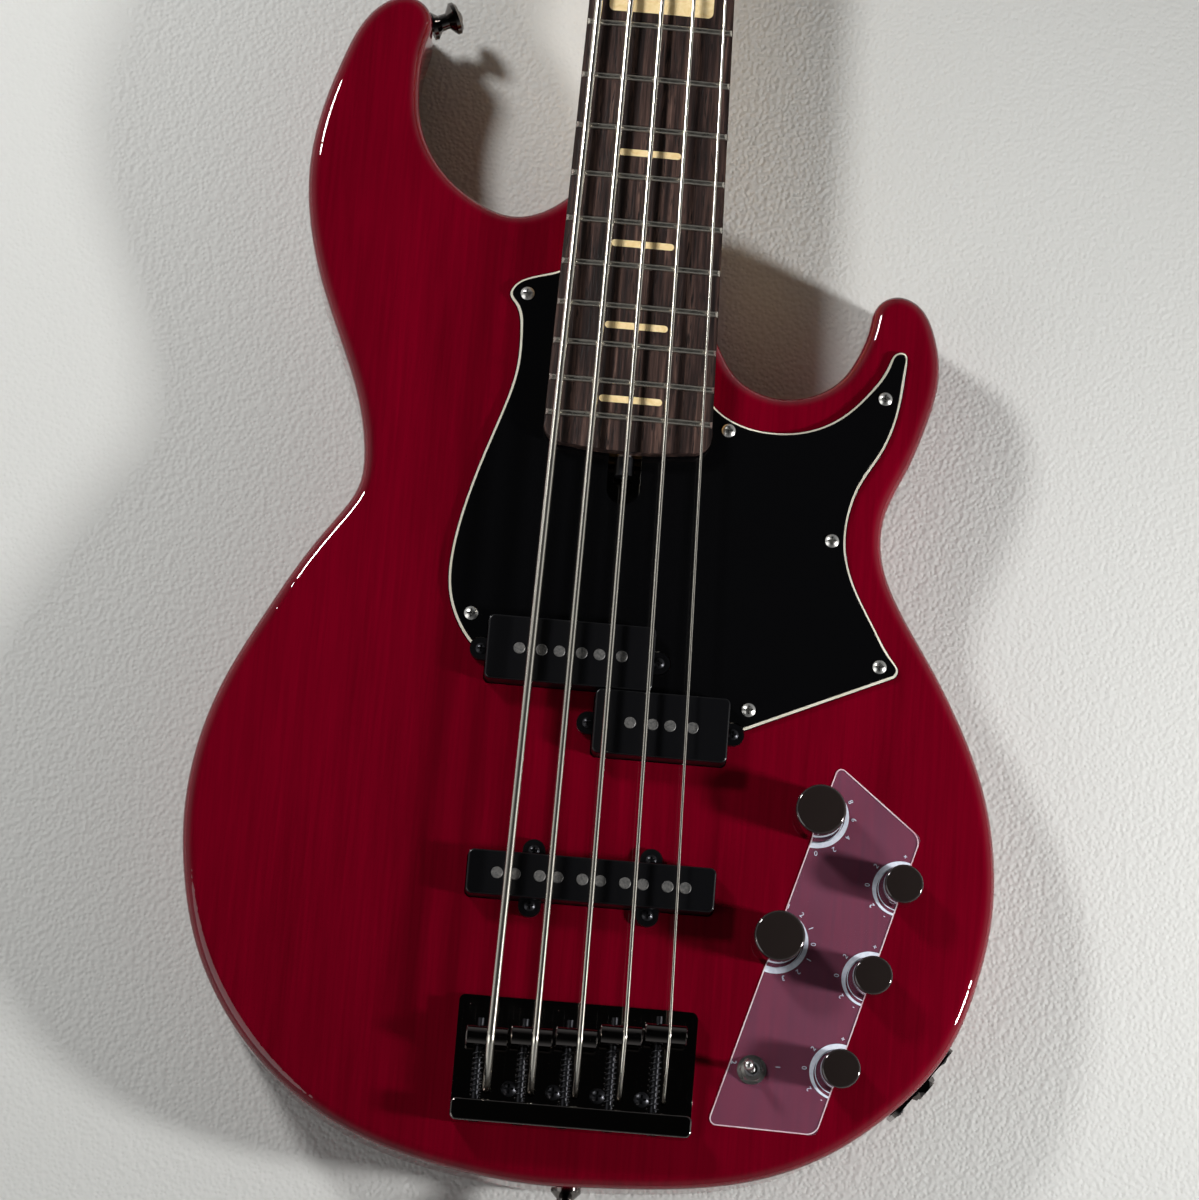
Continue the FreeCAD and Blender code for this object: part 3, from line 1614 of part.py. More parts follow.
def worm_thread():
    # Right-hand thread along +Z that starts over +X
    height = gear_pitch * worm_turns
    helix = Part.makeHelix(gear_pitch, height, worm_pitch_radius)
    a = tooth_root_width / 2
    b = tooth_tip_width / 2
    inner = worm_core - 0.2
    corners = [V(inner, 0, -a), V(worm_outer, 0, -b), V(worm_outer, 0, b), V(inner, 0, a)]
    profile = Part.makePolygon(corners + [corners[0]])
    thread = Part.Wire(helix.Edges).makePipeShell([profile], True, True)
    thread.translate(V(0, 0, -height / 2))
    return thread


def tuner_key():
    core_half = lug_place - lug_thickness / 2 - seat_gap
    core = rod(0, 0, -core_half, core_half, worm_core)
    worm = core.fuse(worm_thread())
    worm.Placement = FreeCAD.Placement(V(0, -worm_offset, worm_level), FreeCAD.Rotation(V(1, 1, 1), 120))
    start = V(-lug_place - lug_thickness, -worm_offset, worm_level)
    shaft_length = key_start + 6 + lug_place + lug_thickness
    key_shaft = rod_along(start, V(1, 0, 0), shaft_length, key_shaft_radius)
    ellipse = Part.Ellipse(V(0, 0, 0), key_width / 2, key_length / 2).toShape()
    paddle = prism(Part.Wire(ellipse), -key_thickness / 2, key_thickness / 2)
    paddle = paddle.makeFillet(key_edge, paddle.Edges)
    paddle.rotate(V(0, 0, 0), up, 90)
    paddle.translate(V(key_start + key_length / 2, -worm_offset, worm_level))
    collar = rod_along(V(key_start - 4, -worm_offset, worm_level), V(1, 0, 0), 6, key_shaft_radius + 1.2)
    return fused([worm, key_shaft, collar, paddle])


def tuner_screws():
    screws = []
    for i in range(5):
        for x, y in tuner_screw_places(i):
            base = V(x, y, head_back - tuner_plate_thickness)
            screws.append(cross_screw(base, V(0, 0, -1), small_head_radius, small_head_height, small_shank_radius,
                                      tuner_screw_length))
    return screws


def tree_screw_place():
    left = tree_point(2)
    right = tree_point(3)
    return V((left.x + right.x) / 2, left.y, 0)


def string_tree():
    # Bar across the two long strings behind the nut, held down by a screw
    spot = tree_screw_place()
    z = head_face + tree_hold + tree_bar_radius + seat_gap
    start = V(spot.x - tree_bar_length / 2, spot.y, z)
    bar = rod_along(start, V(1, 0, 0), tree_bar_length, tree_bar_radius)
    bar = bar.makeChamfer(0.6, [e for e in bar.Edges if e.BoundBox.XLength < 1e-6])
    foot = rod(spot.x, spot.y, head_face, z - tree_bar_radius * 0.6, 2.2)
    shank = rod(spot.x, spot.y, head_face - 9, head_face, tree_screw_radius)
    head = rod(spot.x, spot.y, z, z + tree_bar_radius + 0.8, 2.6)
    return fused([bar, foot, shank, head])


# Small screws and leads

def small_screws():
    screws = []
    for pickup, poles, ears in pickups():
        for x, y in ears:
            screws.append(cross_screw(V(x, y, body_top + ear_thickness), up, small_head_radius, small_head_height,
                                      small_shank_radius, pickup_screw_length))
    for x, y in cover_screw_places():
        base = V(x, y, 0.2 + small_head_height)
        screws.append(cross_screw(base, V(0, 0, -1), small_head_radius, small_head_height - 0.2,
                                  small_shank_radius, cover_screw_length))
    screws.extend(jack_screws())
    screws.extend(tuner_screws())
    return group(screws)


def lead_routes():
    # Leads from the pickups, the battery and the jack to the preamp board
    x, y = board_place
    length, width, height = board_size
    level = ceiling - height + 0.8
    left = x - length / 2 - seat_gap
    low = y - width / 2 - seat_gap
    under = cover_bottom - coil_sunk - lead_radius - seat_gap
    box_x, box_y = box_half()
    box_side = battery_place[0] + box_x + seat_gap
    middle = body_thickness / 2
    jack_end = jack_point(-jack_body_length - seat_gap, 0, middle)
    jack_bend = jack_point(-jack_body_length - 10, 0, middle)
    return [
        [V(24, 123.7, under), V(34, 119.2, under), V(46, 113.6, 29), V(76, 99.8, 29), V(80, 84, 28),
         V(79.5, y + 5, level), V(left, y + 5, level)],
        [V(26, 60.4, under), V(36, 59.4, under), V(46, 58.5, 29), V(64, 56.8, 29), V(77, y, level),
         V(left, y, level)],
        [V(box_side, battery_place[1], 12), V(54, battery_place[1], 12), V(74, 18, 14), V(79, y - 17, 22),
         V(79.5, y - 5, level), V(left, y - 5, level)],
        [jack_end, jack_bend, V(103, 24, 25), V(x, y - 24, level), V(x, low, level)],
    ]


def lead_edges(route):
    radii = []
    for k in range(1, len(route) - 1):
        back = route[k - 1] - route[k]
        ahead = route[k + 1] - route[k]
        shorter = min(back.Length, ahead.Length)
        radii.append(0.45 * shorter * math.tan(back.getAngle(ahead) / 2))
    return run_with_arcs(route, radii), radii


def wiring():
    solids = []
    for route in lead_routes():
        edges, radii = lead_edges(route)
        solid, ratio = tube(edges, lead_radius)
        print("lead radii", [round(r, 1) for r in radii], "volume ratio", round(ratio, 4))
        solids.append(solid)
    return group(solids)


def lead_channels():
    ways = [
        (V(30, 121, 29), V(80, 98, 29)),
        (V(30, 60, 29), V(72, 56, 29)),
        (V(battery_place[0], battery_place[1], 12), V(72, battery_place[1], 12)),
    ]
    return [rod_along(start, end - start, (end - start).Length, lead_channel_radius) for start, end in ways]


# Body

def body_blank():
    wire = Part.Wire(smooth_edges(spline(flat(body_outline), True), 8))
    solid = prism(wire, 0, body_thickness)
    rims = [e for e in solid.Edges if e.BoundBox.ZLength < 1e-6]
    return solid.makeFillet(body_edge_radius, rims)


def body_cutters():
    cutters = [prism(neck_plan(heel_end, seat_gap, heel_curve_start + 40), pocket_floor, body_top + 1)]
    cutters.append(well(body_top - well_depth, body_top + 1))
    for pickup, poles, ears in pickups():
        cutters.append(prism(cover_loop(pickup, shell_gap), body_top - cavity_depth, body_top + 1))
        for x, y in ears:
            cutters.append(screw_hole(V(x, y, body_top), up, small_shank_radius,
                                      pickup_screw_length - ear_thickness))
    cutters.append(prism(cavity_loop(0), -1, ceiling))
    cutters.append(prism(cavity_loop(ledge), -1, cover_thickness))
    for x, y in cover_screw_places():
        cutters.append(rod(x, y, 0, cover_screw_length + 2, small_shank_radius + fit_gap))
    x, y = battery_place
    half_x, half_y = box_half()
    cutters.append(box(x - half_x, x + half_x, y - half_y, y + half_y, -1, box_top()))
    for x, y in pot_places():
        cutters.append(rod(x, y, ceiling - 1, body_top + 1, pot_bush_radius + seat_gap))
    x, y = toggle_place
    cutters.append(rod(x, y, ceiling - 1, body_top + 1, toggle_bush_radius + seat_gap))
    for x, y in guard_screws:
        cutters.append(screw_hole(V(x, y, body_top), up, guard_shank_radius, guard_screw_length - guard_thickness))
    for x, y in bridge_screw_places():
        cutters.append(screw_hole(V(x, y, body_top), up, bridge_shank_radius,
                                  bridge_screw_length - bridge_plate_thickness))
    for i in range(5):
        x = saddle_x(i)
        cutters.append(rod(x, string_hole_y, -1, ferrule_length, ferrule_radius + fit_gap))
        cutters.append(rod(x, string_hole_y, 0, body_top + 1, string_diameters[i] / 2 + string_hole_gap))
    cutters.append(neck_plate_blank(seat_gap))
    for x, y in neck_screw_places():
        cutters.append(rod(x, y, 0, pocket_floor + 1, neck_screw_radius + fit_gap))
    return cutters + jack_cutters() + strap_cutters() + lead_channels()


def jack_cutters():
    recess = jack_plate_blank(seat_gap)
    recess = recess.fuse(prism(rounded_rectangle(0, 0, jack_plate_length + 2 * seat_gap,
                                                 jack_plate_height + 2 * seat_gap, jack_plate_corner), 0, 20))
    shapes = [recess, rod(0, 0, -jack_body_length - 14, 1, jack_body_radius + 2)]
    for x, y in jack_screw_places():
        shapes.append(screw_hole(V(x, y, 0), up, small_shank_radius, pickup_screw_length - jack_plate_thickness))
    for shape in shapes:
        shape.Placement = jack_placement().multiply(shape.Placement)
    return shapes


def strap_cutters():
    shapes = []
    for place, axis in strap_places:
        base = strap_base(place)
        shapes.append(rod_along(base, axis, 12, strap_base_radius + seat_gap))
        shapes.append(screw_hole(base, axis, strap_screw_radius, strap_screw_length))
    return shapes


def body():
    return body_blank().cut(body_cutters())


# Export

def nodes():
    yield "body", body()
    yield "neck", neck()
    yield "fingerboard", fingerboard()
    yield "frets", frets()
    yield "position_markers", position_markers()
    yield "nut", nut()
    yield "truss_rod", truss_rod()
    yield "truss_rod_nut", truss_rod_nut()
    yield "neck_plate", neck_plate()
    yield "neck_screws", neck_screws()
    yield "pickguard", pickguard()
    yield "pickguard_white_ply", pickguard_white_ply()
    yield "pickguard_screws", pickguard_screws()
    yield "pickup_covers", pickup_covers()
    yield "pickup_coils", pickup_coils()
    yield "pickup_pole_pieces", pickup_pole_pieces()
    yield "bridge_plate", bridge_plate()
    yield "bridge_screws", bridge_screws()
    yield "saddle_springs", saddle_springs()
    for i, name in enumerate("beadg"):
        yield "saddle_" + name, saddle(i)
    yield "strings", strings()
    yield "string_ferrules", string_ferrules()
    yield "control_film", control_film()
    yield "potentiometers", potentiometers()
    yield "control_nuts", control_nuts()
    for name, (x, y, size) in knobs.items():
        yield name, knob(x, y, size)
    yield "toggle_switch_case", toggle_switch_case()
    yield "toggle_lever", toggle_lever()
    yield "control_cover", control_cover()
    yield "preamp_board", preamp_board()
    yield "battery_box", battery_box()
    yield "battery_door", battery_door()
    yield "battery", battery()
    yield "jack_plate", jack_plate()
    yield "jack_socket", jack_socket()
    yield "strap_buttons", strap_buttons()
    yield "tuner_plates", tuner_plates()
    yield "tuner_bushings", tuner_bushings()
    key = tuner_key()
    post = tuner_post()
    for i, name in enumerate("beadg"):
        yield "tuner_key_" + name, on_tuner(key, i)
        yield "tuner_post_" + name, on_tuner(post, i)
    yield "string_tree", string_tree()
    yield "small_screws", small_screws()
    yield "wiring", wiring()


os.makedirs("parts", exist_ok=True)
for name, shape in nodes():
    shape.exportStep("parts/" + name + ".step")
    print(name, len(shape.Solids), "solids", "valid" if shape.isValid() else "NOT VALID")
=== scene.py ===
import bpy
import json
import math
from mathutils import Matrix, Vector


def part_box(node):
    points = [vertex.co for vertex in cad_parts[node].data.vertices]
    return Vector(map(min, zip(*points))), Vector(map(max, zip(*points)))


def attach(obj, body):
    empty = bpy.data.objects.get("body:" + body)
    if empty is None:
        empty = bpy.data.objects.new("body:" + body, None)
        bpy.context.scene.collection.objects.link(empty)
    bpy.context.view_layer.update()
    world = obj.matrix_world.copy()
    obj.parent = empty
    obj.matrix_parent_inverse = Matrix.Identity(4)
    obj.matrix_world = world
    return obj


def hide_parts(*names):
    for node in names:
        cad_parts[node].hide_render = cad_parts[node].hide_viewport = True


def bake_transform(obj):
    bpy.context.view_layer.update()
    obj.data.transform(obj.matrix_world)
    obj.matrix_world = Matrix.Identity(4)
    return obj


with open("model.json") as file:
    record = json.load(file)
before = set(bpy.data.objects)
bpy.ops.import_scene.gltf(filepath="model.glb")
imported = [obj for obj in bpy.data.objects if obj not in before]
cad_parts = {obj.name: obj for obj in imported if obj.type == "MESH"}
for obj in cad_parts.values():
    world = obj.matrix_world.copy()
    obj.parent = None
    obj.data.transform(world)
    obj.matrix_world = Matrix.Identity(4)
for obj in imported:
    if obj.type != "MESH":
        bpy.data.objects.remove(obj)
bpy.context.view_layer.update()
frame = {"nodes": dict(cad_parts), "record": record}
nodes = frame["nodes"]
levelFace = 0.9  # least Z of the normal of a face that counts as level


# shader helpers

def srgb(code):
    # sRGB hex to linear, with full alpha
    parts = [int(code[i:i + 2], 16) / 255 for i in (1, 3, 5)]
    return [c / 12.92 if c <= 0.04045 else ((c + 0.055) / 1.055) ** 2.4 for c in parts] + [1.0]


def put(tree, kind, inputs=None, **settings):
    # one node with its settings, and its sockets linked or set
    node = tree.nodes.new("ShaderNode" + kind)
    for name, value in settings.items():
        setattr(node, name, value)
    for key, value in (inputs or {}).items():
        if isinstance(value, bpy.types.NodeSocket):
            tree.links.new(value, node.inputs[key])
        else:
            node.inputs[key].default_value = value
    return node


def newMaterial(name, sockets):
    # a surface with those sockets set, and the place on the piece that its patterns start from
    material = bpy.data.materials.new(name)
    material.use_nodes = True
    tree = material.node_tree
    tree.nodes.clear()
    shader = put(tree, "BsdfPrincipled", sockets)
    put(tree, "OutputMaterial", {"Surface": shader.outputs["BSDF"]})
    place = put(tree, "TexCoord").outputs["Object"]
    return material, tree, shader, place


def perMm(size):
    # texture scale for a pattern of that many millimetres
    return 1000.0 / size


def stretched(tree, place, *sizes, turn=0.0):
    # the place scaled so that a pattern is that many millimetres along X, Y and Z
    scale = [perMm(size) for size in sizes]
    return put(tree, "Mapping", {"Vector": place, "Rotation": (0, 0, turn), "Scale": scale}).outputs[0]


def noise(tree, place, size=None, detail=2.0, roughness=0.5, distortion=0.0):
    # noise with spots of that many millimetres, or as large as a stretched place makes them
    scale = perMm(size) if size else 1.0
    inputs = {"Vector": place, "Scale": scale, "Detail": detail, "Roughness": roughness,
              "Distortion": distortion}
    return put(tree, "TexNoise", inputs).outputs[0]


def ridges(tree, place, size, axis):
    # even bands that many millimetres apart, since the wave texture runs 20 radians a unit
    scale = perMm(size) * 2 * math.pi / 20
    return put(tree, "TexWave", {"Vector": place, "Scale": scale, "Distortion": 0.0},
               wave_type="BANDS", bands_direction=axis, wave_profile="SIN").outputs[0]


def pebbles(tree, place, size, **settings):
    # cells of that many millimetres, as the distance from their middles
    return put(tree, "TexVoronoi", {"Vector": place, "Scale": perMm(size)}, **settings).outputs["Distance"]


def reckoned(tree, operation, *values):
    return put(tree, "Math", dict(enumerate(values)), operation=operation).outputs[0]


def between(tree, value, low, high, start=0.0, end=1.0):
    # a value that runs from start to end, brought to run from low to high
    inputs = {"Value": value, "From Min": start, "From Max": end, "To Min": low, "To Max": high}
    return put(tree, "MapRange", inputs).outputs[0]


def mixed(tree, factor, none, full, kind="RGBA"):
    # one colour or value where the factor is 0, the other where it is 1
    return put(tree, "Mix", {"Factor": factor, "A": none, "B": full}, data_type=kind).outputs["Result"]


def ramped(tree, value, stops):
    # a value turned into colour by stops as (position, linear colour)
    ramp = put(tree, "ValToRGB", {"Fac": value})
    elements = ramp.color_ramp.elements
    while len(elements) < len(stops):
        elements.new(0.5)
    for element, (position, colour) in zip(elements, stops):
        element.position = position
        element.color = colour
    return ramp.outputs[0]


def toned(tree, value, *stops):
    # the same by stops as (position, hex)
    return ramped(tree, value, [(position, srgb(code)) for position, code in stops])


def feed(tree, shader, socket, value):
    # links a value into one of the shader's sockets
    tree.links.new(value, shader.inputs[socket])


def relief(tree, shader, height, strength, distance):
    # fine relief, as deep as the distance in metres
    bump = put(tree, "Bump", {"Height": height, "Strength": strength, "Distance": distance})
    feed(tree, shader, "Normal", bump.outputs[0])


# cherry lacquer: stained close-grained wood under thick polished polyester. The eye sees an even, deep wine
# red with faint darker streaks along the neck, and sharp reflections from the clear coat. Inside a box round
# the rout that shows at the guard's notch, the colour is turned near black.
notchDarkened = {"centre": (0.0, 0.232, 0.0337), "reach": (0.016, 0.03, 0.011), "colour": "#0a090a"}


def makeCherryLacquer():
    material, tree, shader, place = newMaterial("cherryLacquerPolished", {
        "Roughness": 0.6, "Specular IOR Level": 0.0,
        "Coat Weight": 1.0, "Coat Roughness": 0.02, "Coat IOR": 1.5})
    streaks = noise(tree, stretched(tree, place, 16, 170, 16), detail=4.0, roughness=0.55)
    grain = noise(tree, stretched(tree, place, 1.8, 45, 1.8), detail=3.0, distortion=0.4)
    clouds = noise(tree, stretched(tree, place, 160, 260, 160))
    total = reckoned(tree, "ADD", reckoned(tree, "ADD", streaks, grain), clouds)
    mean = reckoned(tree, "MULTIPLY", total, 1 / 3)
    tone = toned(tree, mean, (0.34, "#55000f"), (0.5, "#640014"), (0.66, "#720018"))
    spot = put(tree, "SeparateXYZ", {"Vector": place})
    # the colour turns near black inside the box round the rout below the notch
    inside = 1.0
    for axis, centre, reach in zip("XYZ", notchDarkened["centre"], notchDarkened["reach"]):
        near = reckoned(tree, "COMPARE", spot.outputs[axis], centre, reach)
        inside = reckoned(tree, "MULTIPLY", inside, near)
    feed(tree, shader, "Base Color", mixed(tree, inside, tone, srgb(notchDarkened["colour"])))
    return material


# cut plastic sheet, gloss black: flat, mirror-like, with hair scratches that only break up the reflections.
def makeBlackPly():
    material, tree, shader, place = newMaterial(
        "blackSheetPlasticGloss", {"Base Color": srgb("#070708"), "IOR": 1.5})
    scratches = noise(tree, stretched(tree, place, 0.9, 30, 5, turn=0.6))
    feed(tree, shader, "Roughness", between(tree, scratches, 0.09, 0.13))
    return material


# cut edge of the middle ply: cream, slightly uneven from the cutter.
def makeCreamPly():
    material, tree, shader, place = newMaterial("creamSheetPlasticCut", {"Roughness": 0.35, "IOR": 1.5})
    feed(tree, shader, "Base Color", toned(tree, noise(tree, place, 6), (0.3, "#efe7d0"), (0.7, "#f9f3e2")))
    return material


# rosewood, oiled: brown-black with paler streaks along the strings and open pores, coarser than real.
def makeRosewood():
    material, tree, shader, place = newMaterial(
        "rosewoodOiled", {"Roughness": 0.5, "Specular IOR Level": 0.25})
    streaks = noise(tree, stretched(tree, place, 2.6, 70, 2.6), detail=5.0, roughness=0.65)
    tone = toned(tree, streaks, (0.34, "#0f0908"), (0.48, "#2a1d1a"), (0.58, "#45332d"), (0.7, "#6a5249"))
    pores = between(tree, noise(tree, stretched(tree, place, 0.9, 9, 0.9)), 0.0, 1.0, 0.34, 0.46)
    feed(tree, shader, "Base Color", mixed(tree, pores, srgb("#1b1210"), tone))
    relief(tree, shader, pores, 0.25, 0.0003)
    return material


# hard maple under satin lacquer: pale honey with fine straight grain lines and a soft cross figure.
def makeMaple():
    material, tree, shader, place = newMaterial(
        "mapleSatin", {"Roughness": 0.38, "Coat Weight": 0.3, "Coat Roughness": 0.25})
    lines = noise(tree, stretched(tree, place, 3, 120, 3), detail=4.0)
    figure = noise(tree, stretched(tree, place, 60, 18, 60), detail=1.0)
    mean = reckoned(tree, "MULTIPLY", reckoned(tree, "ADD", lines, figure), 0.5)
    tone = toned(tree, mean, (0.36, "#b98a4f"), (0.5, "#d3a768"), (0.64, "#e0bb80"))
    feed(tree, shader, "Base Color", tone)
    return material


# nickel silver wire, polished: bright warm white metal with faint lengthwise rub marks.
def makeFretNickel():
    material, tree, shader, place = newMaterial(
        "fretWirePolished", {"Base Color": srgb("#d2ccc0"), "Metallic": 1.0})
    rub = noise(tree, stretched(tree, place, 5, 0.4, 0.4))
    feed(tree, shader, "Roughness", between(tree, rub, 0.2, 0.36))
    return material


# nickel-plated wrap wire on a string: a close ribbed winding that breaks the highlight into fine beads.
# Real wraps are about 0.4 mm apart, and these are drawn a little coarser.
def makeStringNickel():
    material, tree, shader, place = newMaterial(
        "stringWrapNickel", {"Base Color": srgb("#efe9dc"), "Metallic": 1.0, "Roughness": 0.22})
    relief(tree, shader, ridges(tree, place, 0.6, "Y"), 0.03, 0.0001)
    return material


# black chrome plating: near-black gloss with a warm cast, hazed a little where fingers touch it.
def makeBlackPlate(name, code, metallic, coat):
    material, tree, shader, place = newMaterial(name, {
        "Base Color": srgb(code), "Metallic": metallic, "Coat Weight": coat, "Coat Roughness": 0.04})
    haze = noise(tree, place, 7, detail=3.0)
    feed(tree, shader, "Roughness", between(tree, haze, 0.04, 0.11, 0.3, 0.7))
    return material


# black oxide steel: nearly black, soft metallic gloss.
def makeBlackScrew():
    material, tree, shader, place = newMaterial(
        "steelBlackOxide", {"Base Color": srgb("#2c2c2f"), "Metallic": 0.8})
    feed(tree, shader, "Roughness", between(tree, noise(tree, place, 3, detail=3.0), 0.22, 0.42))
    return material


# bright plating: mirror metal.
def makeChromePlate():
    material, tree, shader, place = newMaterial(
        "nickelPlatedPolished", {"Base Color": srgb("#dcdad5"), "Metallic": 1.0})
    feed(tree, shader, "Roughness", between(tree, noise(tree, place, 9), 0.2, 0.34))
    return material


# moulded satin plastic, black: soft broad highlights and a fine spark-eroded grain.
def makeBlackCover():
    material, tree, shader, place = newMaterial(
        "blackMouldedSatin", {"Base Color": srgb("#08080a"), "Roughness": 0.28, "Specular IOR Level": 0.4})
    relief(tree, shader, noise(tree, place, 0.8), 0.03, 0.0002)
    return material


# ground magnet ends: dull grey, with cast speckle.
def makeMagnet():
    material, tree, shader, place = newMaterial("magnetGroundEnd", {"Metallic": 0.7, "Roughness": 0.5})
    speckle = noise(tree, place, 0.9, detail=3.0)
    feed(tree, shader, "Base Color", toned(tree, speckle, (0.3, "#565656"), (0.7, "#7f7d7a")))
    return material


# cream acetate inlay, polished flush: warm ivory with faint swirls.
def makeCreamInlay():
    material, tree, shader, place = newMaterial("creamInlayPolished", {"Roughness": 0.25, "IOR": 1.5})
    swirl = noise(tree, place, 5, detail=3.0, distortion=1.5)
    feed(tree, shader, "Base Color", toned(tree, swirl, (0.3, "#e6c98f"), (0.7, "#f6dfae")))
    return material


# bone nut: off-white with fine lengthwise flecks.
def makeBone():
    material, tree, shader, place = newMaterial("bonePolished", {"Roughness": 0.3, "Subsurface Weight": 0.1})
    flecks = noise(tree, stretched(tree, place, 6, 0.7, 0.7))
    feed(tree, shader, "Base Color", toned(tree, flecks, (0.35, "#d9cdb0"), (0.65, "#efe7d2")))
    return material


# plain turned steel: mid grey with fine turning marks.
def makeSteel():
    material, tree, shader, place = newMaterial(
        "steelTurned", {"Base Color": srgb("#a9a9ac"), "Metallic": 1.0})
    feed(tree, shader, "Roughness", between(tree, noise(tree, place, 1.5, detail=4.0), 0.25, 0.45))
    return material


# clear film with a fine matt face: a thin grey-lilac veil over the red. Its cut edge faces are painted pale
# and nearly opaque, a painted highlight for the light the edge catches.
filmVeilAndEdgeHighlight = {"veil": "#b8a6cc", "edge": "#f4e9ee", "edgeHighlightCover": 0.9}


def makeClearFilm():
    material, tree, shader, place = newMaterial(
        "clearFilmMattPaintedEdge", {"Roughness": 0.4, "Specular IOR Level": 0.3})
    veil = between(tree, noise(tree, place, 30), 0.05, 0.068)
    facing = put(tree, "NewGeometry").outputs["True Normal"]
    tilt = put(tree, "SeparateXYZ", {"Vector": facing}).outputs["Z"]
    # edge faces painted pale and nearly opaque: a painted highlight along the film's cut edge
    edge = reckoned(tree, "LESS_THAN", reckoned(tree, "ABSOLUTE", tilt), levelFace)
    feed(tree, shader, "Base Color", mixed(tree, edge, srgb(filmVeilAndEdgeHighlight["veil"]), srgb(filmVeilAndEdgeHighlight["edge"])))
    feed(tree, shader, "Alpha", mixed(tree, edge, veil, filmVeilAndEdgeHighlight["edgeHighlightCover"], "FLOAT"))
    feed(tree, shader, "Normal", facing)
    return material


# moulded black plastic of covers and boxes: matt with a pebbled grain.
def makeBlackPlastic():
    material, tree, shader, place = newMaterial(
        "blackMouldedMatt", {"Base Color": srgb("#141415"), "Roughness": 0.55, "IOR": 1.5})
    relief(tree, shader, pebbles(tree, place, 1.2), 0.15, 0.0002)
    return material


# enamelled copper winding: red-brown, with the wires lying along the coil.
def makeCoilWire():
    material, tree, shader, place = newMaterial(
        "copperWireEnamelled", {"Base Color": srgb("#6a3018"), "Roughness": 0.35})
    relief(tree, shader, ridges(tree, place, 0.8, "Z"), 0.4, 0.0002)
    return material


# printed circuit board: green solder mask with darker tracks.
def makeCircuitBoard():
    material, tree, shader, place = newMaterial("boardSolderMask", {"Roughness": 0.4})
    tracks = pebbles(tree, place, 3, distance="MANHATTAN")
    feed(tree, shader, "Base Color", toned(tree, tracks, (0.2, "#0d3d22"), (0.5, "#16532f")))
    return material


# printed battery sleeve: dark grey lacquered tin.
def makeBatteryCase():
    material, tree, shader, place = newMaterial("batteryTinPrinted", {"Metallic": 0.4, "Roughness": 0.35})
    feed(tree, shader, "Base Color", toned(tree, noise(tree, place, 12), (0.4, "#2b2b2f"), (0.6, "#3a3a3f")))
    return material


# rubbery wire insulation: black, dull.
def makeLeadRubber():
    material, tree, shader, place = newMaterial(
        "leadInsulation", {"Base Color": srgb("#121212"), "Roughness": 0.6})
    relief(tree, shader, noise(tree, place, 4), 0.1, 0.0002)
    return material


finishes = {
    "cherry_lacquer": makeCherryLacquer(),
    "maple": makeMaple(),
    "rosewood": makeRosewood(),
    "fret_nickel": makeFretNickel(),
    "cream_inlay": makeCreamInlay(),
    "bone": makeBone(),
    "steel": makeSteel(),
    "chrome_plate": makeChromePlate(),
    "black_ply": makeBlackPly(),
    "cream_ply": makeCreamPly(),
    "black_cover": makeBlackCover(),
    "coil_wire": makeCoilWire(),
    "magnet": makeMagnet(),
    "black_plate": makeBlackPlate("blackChromePlated", "#6e6966", 1.0, 0.0),
    "black_screw": makeBlackScrew(),
    "string_nickel": makeStringNickel(),
    "clear_film": makeClearFilm(),
    "black_plastic": makeBlackPlastic(),
    "circuit_board": makeCircuitBoard(),
    "battery_case": makeBatteryCase(),
    "lead_rubber": makeLeadRubber(),
}
for part in frame["record"]["subparts"]:
    mesh = nodes[part["node"]].data
    mesh.materials.clear()
    mesh.materials.append(finishes[part["material_slot"]])
print("finishes on", len(nodes), "nodes")


# modelling helpers

hair = 1e-6  # metres within which two points are one
smoothBelow = {"machined": 35, "wire": 50, "frets": 30}  # degrees between faces that shade as one


def only(piece):
    bpy.ops.object.select_all(action="DESELECT")
    piece.select_set(True)
    bpy.context.view_layer.objects.active = piece


def openAll(kind=None):
    # into edit mode with everything selected, by faces or edges if asked
    bpy.ops.object.mode_set(mode="EDIT")
    if kind:
        bpy.ops.mesh.select_mode(type=kind)
    bpy.ops.mesh.select_all(action="SELECT")


def close():
    bpy.ops.object.mode_set(mode="OBJECT")


def pickNone(kind):
    # out of edit mode, with no face or edge selected
    bpy.ops.object.mode_set(mode="EDIT")
    bpy.ops.mesh.select_mode(type=kind)
    bpy.ops.mesh.select_all(action="DESELECT")
    close()


def pickFaces(piece, test):
    # selects the faces whose normal passes the test, and stays in edit mode
    pickNone("FACE")
    for face in piece.data.polygons:
        face.select = test(face.normal)
    bpy.ops.object.mode_set(mode="EDIT")


def pickEdges(piece, test):
    # selects the edges whose two ends pass the test, and stays in edit mode
    pickNone("EDGE")
    points = piece.data.vertices
    for edge in piece.data.edges:
        edge.select = test(points[edge.vertices[0]].co, points[edge.vertices[1]].co)
    bpy.ops.object.mode_set(mode="EDIT")


def settled(piece):
    # the selected piece with its place and turn put into its mesh
    bpy.ops.object.transform_apply(location=True, rotation=True, scale=True)
    return piece


def copyAt(piece, name, place, turn=0.0):
    twin = piece.copy()
    twin.data = piece.data.copy()
    twin.name = name
    bpy.context.scene.collection.objects.link(twin)
    twin.location = place
    twin.rotation_euler = (0, 0, turn)
    only(twin)
    return settled(twin)


def mergedCopy(node, name):
    # a copy of a solid's mesh with its triangles joined up
    twin = bpy.data.objects.new(name, nodes[node].data.copy())
    bpy.context.scene.collection.objects.link(twin)
    only(twin)
    openAll()
    bpy.ops.mesh.customdata_custom_splitnormals_clear()
    bpy.ops.mesh.remove_doubles(threshold=hair)
    close()
    return twin


def joined(parts, name):
    bpy.ops.object.select_all(action="DESELECT")
    for part in parts:
        part.select_set(True)
    bpy.context.view_layer.objects.active = parts[0]
    if len(parts) > 1:
        bpy.ops.object.join()
    parts[0].name = name
    return parts[0]


def smoothed(piece, kind):
    only(piece)
    bpy.ops.object.shade_smooth_by_angle(angle=math.radians(smoothBelow[kind]))


